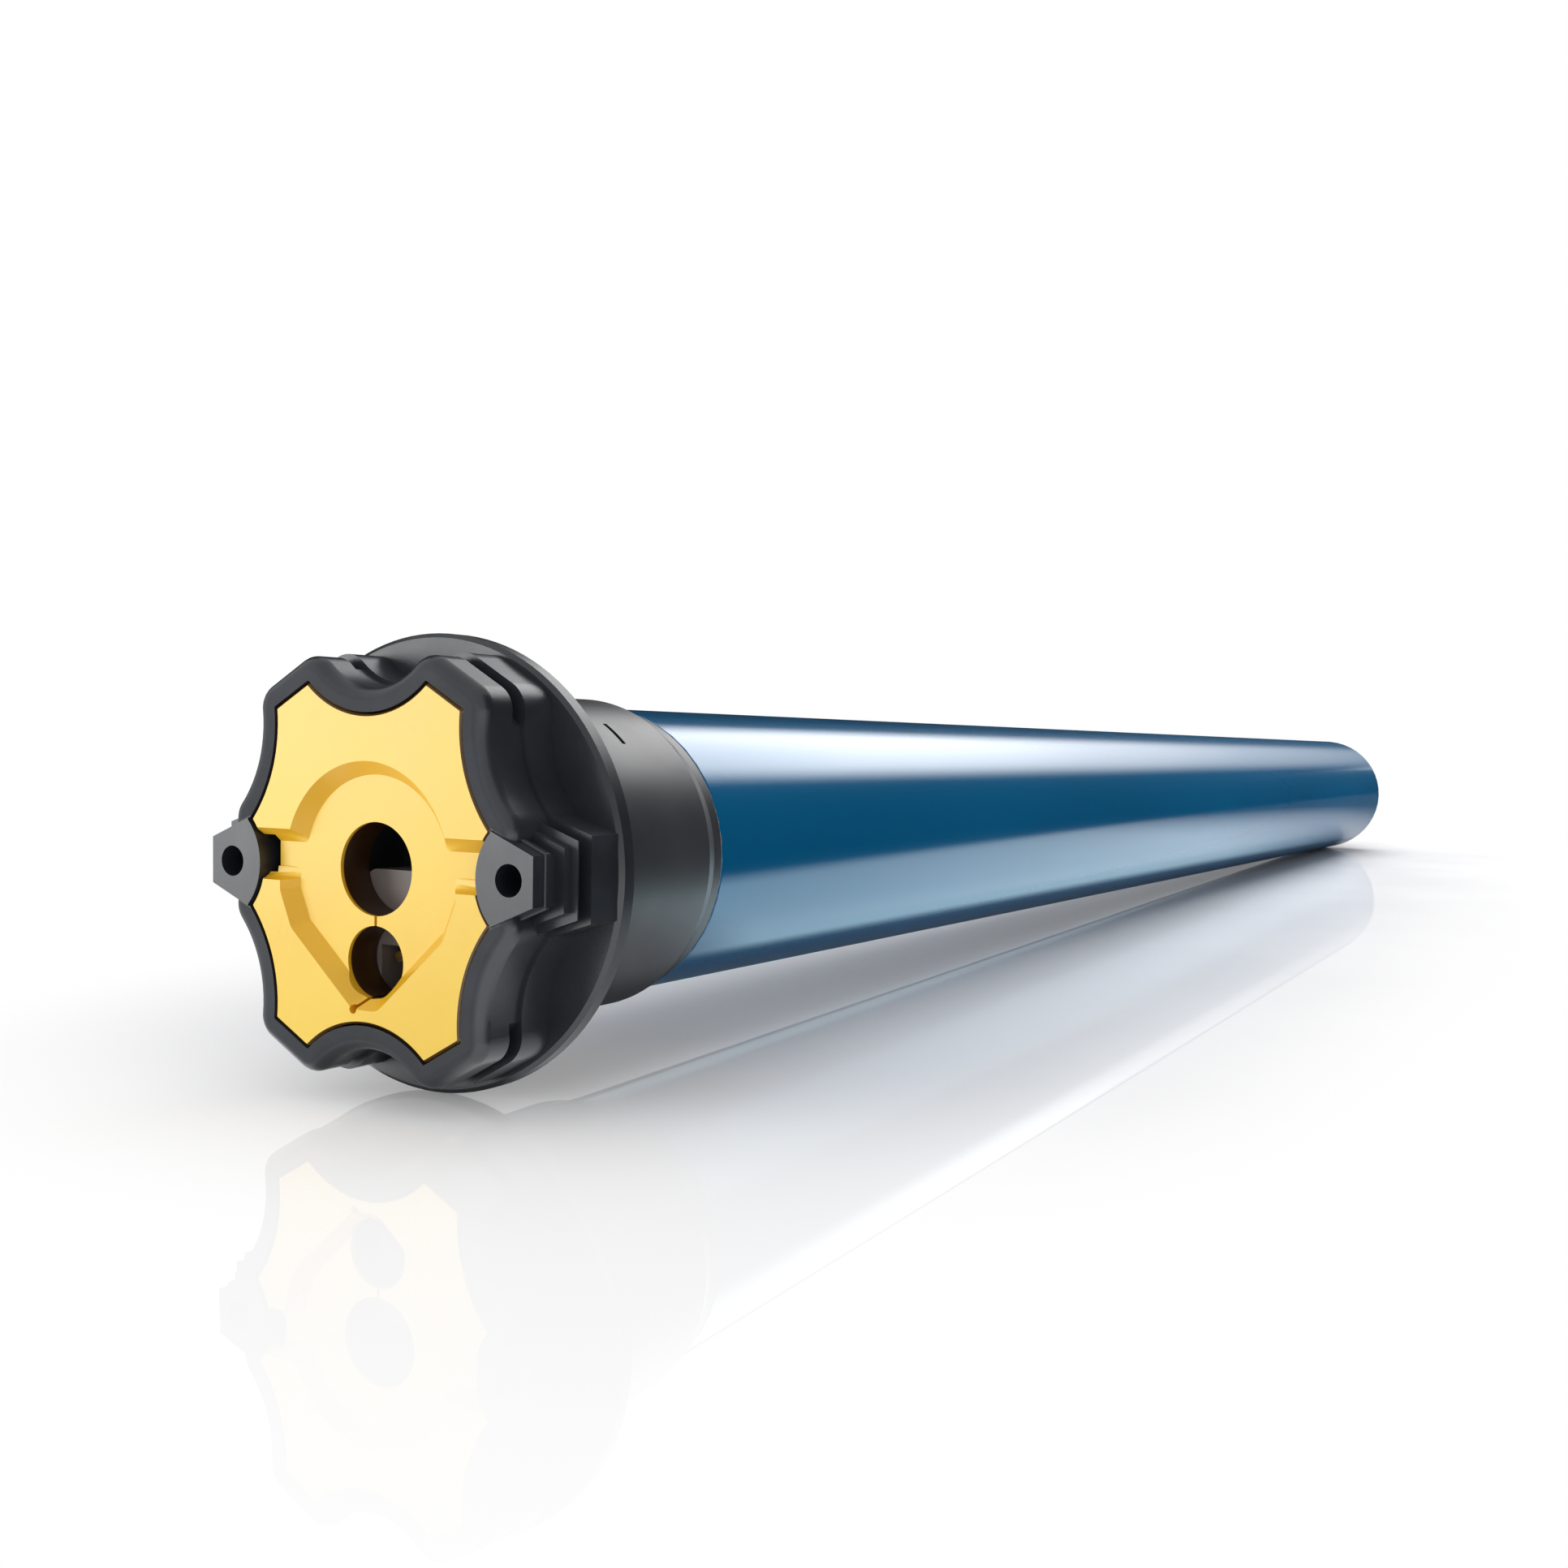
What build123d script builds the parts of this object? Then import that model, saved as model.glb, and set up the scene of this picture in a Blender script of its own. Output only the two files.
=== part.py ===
"""Tubular roller blind motor: star head, turning crown, tube, brake, motor and gearbox.

The motor's axis is X, from the head's front at zero to the output shaft. Z is up.
"""
import math
import os

from build123d import *

os.makedirs("parts", exist_ok=True)

# Clearances shared by all the pieces
overrun = 1.0
slip_fit = 0.05
running_fit = 0.05
face_gap = 0.3
thin_gap = 0.1
press_gap = 0.01

# Ears and their screw holes
ear_hole_offset = 24.0
ear_hole_radius = 2.1
ear_hole_depth = 11.0
ear_root = 15.0
ear_root_half = 8.6
ear_flat = 27.8
ear_flat_half = 3.2
ear_step_depths = (4.4, 1.35)
ear_step_rises = (1.5, 1.1)
ear_step_spread = 0.9

# Outline of the face plate: six lobes, two of them cut away at the ears
lobe_angles = (60, 120, 240, 300)
lobe_flat = 26.3
lobe_flat_half = 3.4
valley_depth_radius = 20.4
side_valley_sag = 1.7
ear_tip_out = 20.8
ear_tip_up = 5.9
ear_arc_radius = 18.5
plate_corner = 0.5

# Face plate: lands, recess, holes and slits
plate_front = 0.3
recess_depth = 2.1
plate_floor = 2.8
recess_radius = 13.4
channel_top = 3.9
channel_bottom = 1.3
skirt_out = 14.4
skirt_low = 3.4
skirt_mid_out = 12.5
skirt_mid_low = 8.0
skirt_foot_out = 1.8
skirt_foot_low = 17.7
recess_corner = 1.5
recess_slope = 0.9
land_edge = 0.3
channel_end_gap = 1.2
centre_hole_radius = 6.25
lower_hole_radius = 4.85
hole_web = 1.3
collar_wall = 1.2
collar_length = 2.7
web_slit_width = 0.45
foot_slit_width = 0.5
foot_hole_radius = 0.6
foot_hole_out = 2.0
foot_hole_low = 18.6
peg_radius = 1.5
peg_length = 4.0
peg_out = 12.5
peg_up = 14.5

# Head shell
plate_gap = 0.25
rim_width = 1.35
shoulder_width = 2.0
rear_swell = 0.6
groove_front = 6.0
groove_width = 1.8
groove_floor_radius = 27.4
ear_rear_flat = 31.0
ear_rear_spread = 2.4
disc_front = 13.6
disc_thickness = 3.3
disc_radius = 31.75
disc_edge = 0.6
neck_cavity_radius = 16.4
cavity_floor = 2.0

# Crown and its gear
crown_length = 36.0
crown_bore_radius = 20.4
crown_outer_radius = 22.5
crown_ring_rise = 1.3
crown_ring_length = 30.6
crown_taper_length = 3.4
crown_edge = 0.4
crown_slit_width = 0.9
crown_slit_depth = 0.6
crown_slit_offset = 18.0
crown_slit_angle = 11.0
crown_slit_start = 123.0
crown_gear_offset = 28.2
crown_gear_face = 5.0
crown_gear_wall = 0.8
crown_gear_rim = 1.2
crown_gear_teeth = 48

# Tooth form, as shares of the module, and the play between meshed teeth
pressure_angle = 25.0
addendum_share = 0.8
dedendum_share = 1.1
backlash = 0.08

# Limit pinion and encoder
limit_pinion_teeth = 12
pinion_face_extra = 0.3
pinion_shaft_radius = 1.2
pinion_shaft_start = 24.2
bearing_web_thickness = 3.0
bearing_web_hole = 8.0
neck_end_length = 13.0
pinion_window_side = 0.7
support_thickness = 3.0
encoder_radius = 6.0
encoder_thickness = 3.0
encoder_gap = 1.0
sensor_thickness = 1.4
sensor_width = 4.0
sensor_height = 3.0

# Cable socket behind the two holes
socket_half_width = 6.8
socket_top = 0.5
socket_bottom = 19.3
socket_corner = 2.0
socket_depth = 8.4
pocket_radius = 7.8
pocket_gap = 0.1
plug_cavity_width = 8.0
plug_cavity_top = 10.8
plug_cavity_bottom = 17.0
plug_cavity_depth = 7.0
pin_radius = 0.75
pin_reach = 5.0
pin_side = 2.6
pin_upper_low = 12.6
pin_lower_low = 15.2
pin_tail = 2.0
lead_radius = 0.9

# Motor tube and the plug that holds it on the neck
tube_outer_radius = 22.5
tube_wall = 1.0
tube_edge = 0.3
plug_length = 22.0
screw_angles = (-60, 0, 60)
screw_radius = 1.4
screw_head_radius = 2.6
screw_depth = 5.4
plug_screw_offset = 6.5
slot_width = 0.7
slot_depth = 0.6

# Electronics
encoder_bay = 8.5
tray_length = 135.0
tray_wall = 1.4
tray_end = 2.5
board_drop = 2.0
board_thickness = 1.6
board_half_width = 18.6
board_end_gap = 2.0
ledge_width = 2.6
ledge_height = 2.2
relay_length = 20.0
relay_width = 10.0
relay_height = 14.0
relay_spacing = 14.0
relay_offset = 22.0
supply_length = 24.0
supply_width = 22.0
supply_height = 12.0
supply_gap = 8.0
radio_length = 26.0
radio_width = 18.0
radio_height = 3.2
radio_end_gap = 2.0

# Capacitor
module_gap = 6.0
capacitor_length = 97.0
capacitor_radius = 17.0
capacitor_edge = 1.2
pad_length = 10.0
pad_inset = 8.0
motor_lead_pitch_radius = 19.9
motor_lead_angles = (78, 90, 102)
lead_slot_side = 0.5

# Brake
brake_floor = 3.0
brake_wall = 1.8
coil_length = 16.0
coil_bore_radius = 4.0
coil_gap = 0.2
armature_travel = 0.4
armature_thickness = 4.0
armature_radius = 18.0
brake_disc_thickness = 4.0
brake_disc_radius = 17.0
spring_outer_radius = 7.4
spring_inner_radius = 4.4
spring_sheet = 0.6
spring_cone = 0.5
spring_count = 3
spring_play = 0.1
brake_shaft_overlap = 3.0

# Motor
shield_disc = 4.0
shield_rim_wall = 1.7
end_turn_room = 12.0
stator_length = 96.0
stator_slots = 12
slot_opening = 2.0
stator_bore_radius = 13.3
air_gap = 0.3
slot_inner_radius = 14.6
slot_outer_radius = 18.8
slot_share = 0.5
end_turn_length = 10.0
winding_gap = 0.15
rotor_inset = 0.5
cage_ring_length = 5.0
cage_ring_wall = 3.6
bush_wall = 2.6
bush_extra = 3.0
shaft_shoulder = 0.7
pinion_wall = 0.95

# Gearbox: three planetary stages in one toothed housing
sun_teeth = 12
ring_teeth = 54
planet_count = 3
ring_wall = 3.1
stage_start = 1.5
planet_faces = (12.0, 16.0, 22.0)
carrier_plates = (4.0, 4.0, 6.0)
planet_side_gap = 0.3
stage_gap = 0.7
sun_overhang = 0.4
planet_pin_radius = 1.6
planet_pin_fit = 0.04
carrier_rim = 0.6

# Output end
washer_thickness = 1.0
end_cap_length = 32.7
end_cap_recess = 1.0
output_radius = 8.0
output_bush_wall = 2.5
cap_screw_offset = 16.0
collar_stand = 3.0
circlip_thickness = 1.0
circlip_depth = 0.8
circlip_rise = 1.5
circlip_opening = 4.0
stub_radius = 7.0
stub_length = 19.0
stub_flat = 6.3
stub_edge = 0.5
wheel_screw_radius = 2.1
wheel_screw_depth = 12.0

# Places along the axis, worked out from the sizes above
plate_recess = plate_front + recess_depth
plate_back = plate_recess + plate_floor
plate_seat = plate_back + thin_gap
disc_back = disc_front + disc_thickness
crown_start = disc_back + face_gap
crown_end = crown_start + crown_length
tube_start = crown_end + face_gap
tube_bore_radius = tube_outer_radius - tube_wall
module_radius = tube_bore_radius - slip_fit
collar_end = plate_back + collar_length
socket_front = collar_end + thin_gap
socket_back = socket_front + socket_depth
pocket_floor = socket_back + thin_gap
cavity_start = pocket_floor + cavity_floor
lower_hole_low = centre_hole_radius + hole_web + lower_hole_radius
plug_cavity_floor = socket_front + plug_cavity_depth
pin_places = ((-pin_side, -pin_upper_low), (0, -pin_lower_low), (pin_side, -pin_upper_low))
star_spread = plate_gap + rim_width + shoulder_width
groove_end = groove_front + groove_width

# Limit gear train: the crown's toothed ring and the pinion inside it
gear_start = crown_start + crown_gear_offset
gear_end = gear_start + crown_gear_face
gear_bore_step = crown_outer_radius - crown_gear_wall
crown_gear_outer = gear_bore_step - slip_fit
crown_gear_root = crown_gear_outer - crown_gear_rim
limit_module = 2 * crown_gear_root / (crown_gear_teeth + 2 * dedendum_share)
crown_gear_tip = limit_module * (crown_gear_teeth / 2 - addendum_share)
pinion_offset = limit_module * (crown_gear_teeth - limit_pinion_teeth) / 2
limit_pinion_tip = limit_module * (limit_pinion_teeth / 2 + addendum_share)
neck_radius = crown_bore_radius - running_fit
neck_step_radius = crown_gear_tip - face_gap
neck_step_start = gear_start - face_gap
plug_end = tube_start + plug_length
neck_end = tube_start + neck_end_length
pinion_start = gear_start - pinion_face_extra
pinion_end = gear_end + pinion_face_extra
shaft_start = disc_back + pinion_shaft_start
web_start = shaft_start - overrun
web_end = web_start + bearing_web_thickness
support_start = pinion_end + face_gap
support_end = support_start + support_thickness
journal_radius = pinion_shaft_radius + running_fit
window_half = limit_pinion_tip + pinion_window_side

# Modules in the tube
tray_start = plug_end + encoder_bay
tray_stop = tray_start + tray_length
shaft_end = tray_start + tray_end - face_gap
encoder_start = tray_start - encoder_gap - sensor_thickness - encoder_thickness
capacitor_start = tray_stop + module_gap
capacitor_stop = capacitor_start + capacitor_length
brake_start = capacitor_stop + module_gap
coil_start = brake_start + brake_floor
coil_stop = coil_start + coil_length
armature_start = coil_stop + armature_travel + slip_fit
armature_stop = armature_start + armature_thickness
brake_disc_start = armature_stop + slip_fit
brake_disc_stop = brake_disc_start + brake_disc_thickness
rear_shield_start = brake_disc_stop + thin_gap
spring_step = spring_sheet + spring_cone + slip_fit
spring_pocket_floor = armature_start - spring_count * spring_step - armature_travel - spring_play
rotor_shaft_start = armature_start - brake_shaft_overlap
rear_shield_back = rear_shield_start + shield_disc
stator_start = rear_shield_back + end_turn_room
stator_stop = stator_start + stator_length
front_shield_disc = stator_stop + end_turn_room
gearbox_start = front_shield_disc + shield_disc

# Gear stages
ring_root = module_radius - ring_wall
stage_module = 2 * ring_root / (ring_teeth + 2 * dedendum_share)
planet_teeth = (ring_teeth - sun_teeth) // 2
ring_tip = stage_module * (ring_teeth / 2 - addendum_share)
planet_offset = stage_module * (sun_teeth + planet_teeth) / 2
sun_root = stage_module * (sun_teeth / 2 - dedendum_share)
carrier_radius = ring_tip - carrier_rim
pinion_seat_radius = sun_root - pinion_wall
shaft_radius = pinion_seat_radius + shaft_shoulder
planet_starts = []
planet_stops = []
carrier_starts = []
carrier_stops = []
stage_place = gearbox_start + stage_start
for planet_face, carrier_plate in zip(planet_faces, carrier_plates):
    planet_starts.append(stage_place)
    planet_stops.append(stage_place + planet_face)
    carrier_starts.append(planet_stops[-1] + planet_side_gap)
    carrier_stops.append(carrier_starts[-1] + carrier_plate)
    stage_place = carrier_stops[-1] + stage_gap
washer_start = carrier_stops[-1] + thin_gap
cap_start = washer_start + washer_thickness + thin_gap
cap_end = cap_start + end_cap_length
tube_end = cap_end + end_cap_recess
stub_start = cap_end + collar_stand
stub_end = stub_start + stub_length


def lobe_corner(angle, flat, half):
    """One end of a lobe's flat tip, at the given angle round the axis."""
    turn = math.radians(angle)
    across = flat * math.cos(turn) - half * math.sin(turn)
    up = flat * math.sin(turn) + half * math.cos(turn)
    return across, up


def side_valley(start, end):
    """Shallow hollow between an ear tip and a lobe, as an arc."""
    middle = (Vector(*start) + Vector(*end)) / 2
    inward = middle.normalized() * side_valley_sag
    ThreePointArc(start, middle - inward, end)


def plate_outline():
    """The face plate's outline, drawn in the line builder that is open."""
    first, second, third, fourth = lobe_angles
    tip = (ear_tip_out, ear_tip_up)
    far_tip = (-ear_tip_out, ear_tip_up)
    low_far_tip = (-ear_tip_out, -ear_tip_up)
    low_tip = (ear_tip_out, -ear_tip_up)
    corners = [
        (lobe_corner(angle, lobe_flat, -lobe_flat_half), lobe_corner(angle, lobe_flat, lobe_flat_half))
        for angle in (first, second, third, fourth)
    ]
    for before, after in corners:
        Line(before, after)
    side_valley(tip, corners[0][0])
    ThreePointArc(corners[0][1], (0, valley_depth_radius), corners[1][0])
    side_valley(corners[1][1], far_tip)
    ThreePointArc(far_tip, (-ear_arc_radius, 0), low_far_tip)
    side_valley(low_far_tip, corners[2][0])
    ThreePointArc(corners[2][1], (0, -valley_depth_radius), corners[3][0])
    side_valley(corners[3][1], low_tip)
    ThreePointArc(low_tip, (ear_arc_radius, 0), tip)


def recess_outline():
    """The recessed field of the face plate, the same on both sides."""
    side = math.sqrt(recess_radius**2 - channel_top**2)
    skirt_mid = (skirt_mid_out, -skirt_mid_low)
    ThreePointArc((side, channel_top), (0, recess_radius), (-side, channel_top))
    for hand in (1, -1):
        Line((hand * side, channel_top), (hand * disc_radius, channel_top))
        Line((hand * disc_radius, channel_top), (hand * disc_radius, -channel_bottom))
        Line((hand * disc_radius, -channel_bottom), (hand * skirt_out, -channel_bottom))
        Line((hand * skirt_out, -channel_bottom), (hand * skirt_out, -skirt_low))
        Line((hand * skirt_out, -skirt_low), (hand * skirt_mid[0], skirt_mid[1]))
        Line((hand * skirt_mid[0], skirt_mid[1]), (hand * skirt_foot_out, -skirt_foot_low))
    Line((skirt_foot_out, -skirt_foot_low), (-skirt_foot_out, -skirt_foot_low))


def ear_section(place, flat, spread):
    """Both ears cut across, each narrowing to its flat outer edge."""
    with BuildSketch(Plane.YZ.offset(place)) as section:
        for hand in (1, -1):
            with BuildLine():
                Polyline(
                    (hand * ear_root, ear_root_half + spread),
                    (hand * flat, ear_flat_half + spread),
                    (hand * flat, -ear_flat_half - spread),
                    (hand * ear_root, -ear_root_half - spread),
                    close=True,
                )
            make_face()
    return section.sketch


def star_section(place, spread):
    """The face plate's outline, grown all round by the given width."""
    with BuildSketch(Plane.YZ.offset(place)) as section:
        add(star_shape.sketch_local)
        offset(amount=spread)
    return section.sketch


def ring(start, end, outer, inner=0, mode=Mode.ADD):
    """A disc or ring about the motor's axis, from one place on it to another."""
    with BuildSketch(Plane.YZ.offset(start)) as section:
        Circle(outer)
        if inner > 0:
            Circle(inner, mode=Mode.SUBTRACT)
    extrude(section.sketch, amount=end - start, mode=mode)


def rod(start, end, across, up, radius, mode=Mode.ADD):
    """A round bar parallel to the axis, at a place beside it."""
    with BuildSketch(Plane.YZ.offset(start)) as section:
        with Locations((across, up)):
            Circle(radius)
    extrude(section.sketch, amount=end - start, mode=mode)


def block(start, end, low, high, mode=Mode.ADD):
    """A box from one place on the axis to another, between two corners across it."""
    with BuildSketch(Plane.YZ.offset(start)) as section:
        with Locations(((low[0] + high[0]) / 2, (low[1] + high[1]) / 2)):
            Rectangle(high[0] - low[0], high[1] - low[1])
    extrude(section.sketch, amount=end - start, mode=mode)


def involute_points(base, reach, low, high, count):
    """Points of an involute of a base circle, as radius and polar angle."""
    points = []
    for step in range(count):
        radius = low + (high - low) * step / (count - 1)
        bend = math.acos(min(1, base / max(radius, base)))
        points.append((radius, math.tan(bend) - bend - reach))
    return points


def gear_points(teeth, module, outer_share, inner_share, play):
    """Corner points of a gear's outline, with the middle of a tooth at angle zero."""
    pitch = module * teeth / 2
    base = pitch * math.cos(math.radians(pressure_angle))
    tip = pitch + module * outer_share
    root = pitch - module * inner_share
    bend = math.radians(pressure_angle)
    half_tooth = (math.pi * module / 2 - play) / (2 * pitch)
    reach = math.tan(bend) - bend + half_tooth
    flank = involute_points(base, reach, max(root, base), tip, 3)
    if root < base:
        flank = [(root, flank[0][1])] + flank
    outline = []
    pitch_turn = 2 * math.pi / teeth
    for tooth in range(teeth):
        centre = tooth * pitch_turn
        for radius, angle in flank:
            outline.append((radius * math.cos(centre + angle), radius * math.sin(centre + angle)))
        for radius, angle in reversed(flank):
            outline.append((radius * math.cos(centre - angle), radius * math.sin(centre - angle)))
    return outline


def toothed_rod(start, end, teeth, module, across=0, up=0, turn=0):
    """An external gear between two places on the axis, turned by an angle in radians."""
    points = gear_points(teeth, module, addendum_share, dedendum_share, backlash / 2)
    heading = (0, math.cos(turn), math.sin(turn))
    with BuildSketch(Plane(origin=(start, across, up), x_dir=heading, z_dir=(1, 0, 0))) as section:
        with BuildLine():
            Polyline(*points, close=True)
        make_face()
    extrude(section.sketch, amount=end - start)


def toothed_bore(start, end, teeth, module):
    """The toothed hole of an internal gear, with a tooth space at angle zero."""
    points = gear_points(teeth, module, dedendum_share, addendum_share, -backlash / 2)
    with BuildSketch(Plane.YZ.offset(start)) as section:
        with BuildLine():
            Polyline(*points, close=True)
        make_face()
    extrude(section.sketch, amount=end - start, mode=Mode.SUBTRACT)


def lead_slots(start, end):
    """Cut the way for the motor leads along the edge of a module."""
    side = lead_radius + lead_slot_side
    for angle in motor_lead_angles:
        turn = math.radians(angle)
        across = motor_lead_pitch_radius * math.cos(turn)
        up = motor_lead_pitch_radius * math.sin(turn)
        block(start, end, (across - side, up - side), (across + side, disc_radius), Mode.SUBTRACT)


def radial_plane(place, angle, radius):
    """Plane square to a radius of the tube, with its normal pointing inwards."""
    turn = math.radians(angle)
    outward = Vector(0, math.cos(turn), math.sin(turn))
    origin = Vector(place, 0, 0) + outward * radius
    return Plane(origin=origin, x_dir=(1, 0, 0), z_dir=-outward)


def screw_ways(place):
    """Countersunk screw holes through the tube and what it is fixed to."""
    for angle in screw_angles:
        with BuildSketch(radial_plane(place, angle, tube_outer_radius + overrun)) as mouth:
            Circle(screw_radius + slip_fit)
        extrude(mouth.sketch, amount=screw_depth + overrun + slip_fit, mode=Mode.SUBTRACT)
        head = [
            (screw_head_radius + slip_fit, tube_outer_radius),
            (screw_radius + slip_fit, tube_bore_radius),
        ]
        sections = []
        for radius, distance in head:
            with BuildSketch(radial_plane(place, angle, distance)) as section:
                Circle(radius)
            sections.append(section.sketch.face())
        loft(sections, mode=Mode.SUBTRACT)


def tube_screws(place):
    """The countersunk screws themselves, one solid each."""
    for angle in screw_angles:
        sections = []
        head = [
            (screw_head_radius - slip_fit, tube_outer_radius - slip_fit),
            (screw_radius, tube_bore_radius),
        ]
        for radius, distance in head:
            with BuildSketch(radial_plane(place, angle, distance)) as section:
                Circle(radius)
            sections.append(section.sketch.face())
        loft(sections)
        with BuildSketch(radial_plane(place, angle, tube_bore_radius)) as shank:
            Circle(screw_radius)
        extrude(shank.sketch, amount=screw_depth - tube_wall)
        with BuildSketch(radial_plane(place, angle, tube_outer_radius)) as slot:
            Rectangle(2 * screw_head_radius, slot_width)
            Rectangle(slot_width, 2 * screw_head_radius)
        extrude(slot.sketch, amount=slot_depth, mode=Mode.SUBTRACT)


# Face plate
with BuildSketch(Plane.YZ) as star_shape:
    with BuildLine():
        plate_outline()
    make_face()

with BuildSketch(Plane.YZ) as plate_shape:
    add(star_shape.sketch_local)
    fillet(plate_shape.vertices(), plate_corner)

with BuildSketch(Plane.YZ) as recess_shape:
    with BuildLine():
        recess_outline()
    make_face()
    offset(amount=-recess_corner)
    offset(amount=recess_corner)

with BuildSketch(Plane.YZ) as holes_shape:
    Circle(centre_hole_radius)
    with Locations((0, -lower_hole_low)):
        Circle(lower_hole_radius)

with BuildSketch(Plane.YZ) as slits_shape:
    with Locations((0, -centre_hole_radius - hole_web / 2)):
        Rectangle(web_slit_width, 2 * hole_web)
    with BuildLine():
        Line((0, -lower_hole_low - lower_hole_radius + hole_web / 2), (foot_hole_out, -foot_hole_low))
    trace(line_width=foot_slit_width)
    with Locations((foot_hole_out, -foot_hole_low)):
        Circle(foot_hole_radius)

with BuildPart() as face_plate:
    with BuildSketch(Plane.YZ.offset(plate_front)):
        add(plate_shape.sketch_local)
    extrude(amount=plate_back - plate_front)
    chamfer(face_plate.faces().sort_by(Axis.X)[0].edges(), land_edge)
    with BuildSketch(Plane.YZ.offset(plate_recess)):
        add(recess_shape.sketch_local)
        offset(amount=-recess_slope)
    with BuildSketch(Plane.YZ.offset(plate_front)):
        add(recess_shape.sketch_local)
        offset(amount=recess_slope)
    loft(ruled=True, mode=Mode.SUBTRACT)
    block(
        plate_recess - overrun,
        plate_back + overrun,
        (ear_arc_radius - channel_end_gap, -channel_bottom),
        (ear_arc_radius + overrun, channel_top),
        Mode.SUBTRACT,
    )
    with BuildSketch(Plane.YZ.offset(plate_back)):
        add(holes_shape.sketch_local)
        offset(amount=collar_wall)
    extrude(amount=collar_length)
    with BuildSketch(Plane.YZ):
        add(holes_shape.sketch_local)
        add(slits_shape.sketch_local)
    extrude(amount=collar_end + overrun, mode=Mode.SUBTRACT)
    with BuildSketch(Plane.YZ.offset(plate_back)):
        with GridLocations(2 * peg_out, 2 * peg_up, 2, 2):
            Circle(peg_radius)
    extrude(amount=peg_length)
face_plate.part.label = "face_plate"
export_step(face_plate.part, "parts/face_plate.step")


# Head shell: star cup, groove, flange disc and the neck that carries the crown
with BuildPart() as head_shell:
    extrude(star_section(plate_front, star_spread), amount=groove_front - plate_front)
    fillet(head_shell.faces().sort_by(Axis.X)[0].edges(), shoulder_width)
    step_start = 0
    step_flat = ear_flat
    step_spread = 0
    for depth, rise in zip(ear_step_depths, ear_step_rises):
        extrude(ear_section(step_start, step_flat, step_spread), amount=groove_front - step_start)
        step_start += depth
        step_flat += rise
        step_spread += ear_step_spread
    extrude(ear_section(step_start, step_flat, step_spread), amount=groove_front - step_start)
    with BuildSketch(Plane.YZ.offset(groove_front)):
        add(star_shape.sketch_local)
        offset(amount=star_spread)
        Circle(groove_floor_radius, mode=Mode.INTERSECT)
    extrude(amount=groove_width)
    extrude(star_section(groove_end, star_spread + rear_swell), amount=disc_front - groove_end)
    extrude(ear_section(groove_end, ear_rear_flat, ear_rear_spread), amount=disc_front - groove_end)
    with BuildSketch(Plane.XY):
        with BuildLine():
            Polyline(
                (disc_front, 0),
                (disc_front, disc_radius - disc_edge),
                (disc_front + disc_edge, disc_radius),
                (disc_back - disc_edge, disc_radius),
                (disc_back, disc_radius - disc_edge),
                (disc_back, 0),
                close=True,
            )
        make_face()
    revolve(axis=Axis.X)
    ring(disc_back, neck_step_start, neck_radius)
    ring(neck_step_start, neck_end, neck_step_radius)
    extrude(star_section(-overrun, plate_gap), amount=plate_seat + overrun, mode=Mode.SUBTRACT)
    ring(plate_seat, pocket_floor, pocket_radius, mode=Mode.SUBTRACT)
    with BuildSketch(Plane.YZ.offset(plate_seat)):
        with Locations((0, -(socket_top + socket_bottom) / 2)):
            RectangleRounded(
                2 * (socket_half_width + pocket_gap),
                socket_bottom - socket_top + 2 * pocket_gap,
                socket_corner + pocket_gap,
            )
    extrude(amount=pocket_floor - plate_seat, mode=Mode.SUBTRACT)
    with BuildSketch(Plane.YZ.offset(plate_seat)):
        with GridLocations(2 * peg_out, 2 * peg_up, 2, 2):
            Circle(peg_radius + slip_fit)
    extrude(amount=peg_length + face_gap, mode=Mode.SUBTRACT)
    with BuildSketch(Plane.YZ):
        with Locations((ear_hole_offset, 0), (-ear_hole_offset, 0)):
            Circle(ear_hole_radius)
    extrude(amount=ear_hole_depth, mode=Mode.SUBTRACT)
    ring(cavity_start, neck_end + overrun, neck_cavity_radius, mode=Mode.SUBTRACT)
    ring(web_start, web_end, neck_cavity_radius, bearing_web_hole)
    block(
        web_start,
        web_end,
        (-neck_cavity_radius / 2, -neck_cavity_radius),
        (neck_cavity_radius / 2, 0),
        Mode.SUBTRACT,
    )
    rod(web_start, web_end, 0, pinion_offset, journal_radius, Mode.SUBTRACT)
    block(
        pinion_start - pinion_window_side,
        pinion_end + pinion_window_side,
        (-window_half, pinion_offset - window_half),
        (window_half, neck_radius + overrun),
        Mode.SUBTRACT,
    )
    for across, up in pin_places:
        pin_way = pin_radius + slip_fit
        rod(pocket_floor - overrun, cavity_start + overrun, across, up, pin_way, Mode.SUBTRACT)
    screw_ways(tube_start + plug_screw_offset)
head_shell.part.label = "head_shell"
export_step(head_shell.part, "parts/head_shell.step")


# Cable socket with its plug cavity, and the pins and leads behind it
with BuildPart() as cable_socket:
    with BuildSketch(Plane.YZ.offset(socket_front)):
        with Locations((0, -(socket_top + socket_bottom) / 2)):
            RectangleRounded(2 * socket_half_width, socket_bottom - socket_top, socket_corner)
    extrude(amount=socket_depth)
    block(
        socket_front - overrun,
        plug_cavity_floor,
        (-plug_cavity_width / 2, -plug_cavity_bottom),
        (plug_cavity_width / 2, -plug_cavity_top),
        Mode.SUBTRACT,
    )
    for across, up in pin_places:
        pin_way = pin_radius + slip_fit
        rod(plug_cavity_floor - overrun, socket_back + overrun, across, up, pin_way, Mode.SUBTRACT)
cable_socket.part.label = "cable_socket"
export_step(cable_socket.part, "parts/cable_socket.step")

with BuildPart() as contact_pins:
    for across, up in pin_places:
        rod(plug_cavity_floor - pin_reach, cavity_start + pin_tail, across, up, pin_radius)
contact_pins.part.label = "contact_pins"
export_step(contact_pins.part, "parts/contact_pins.step")

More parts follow.
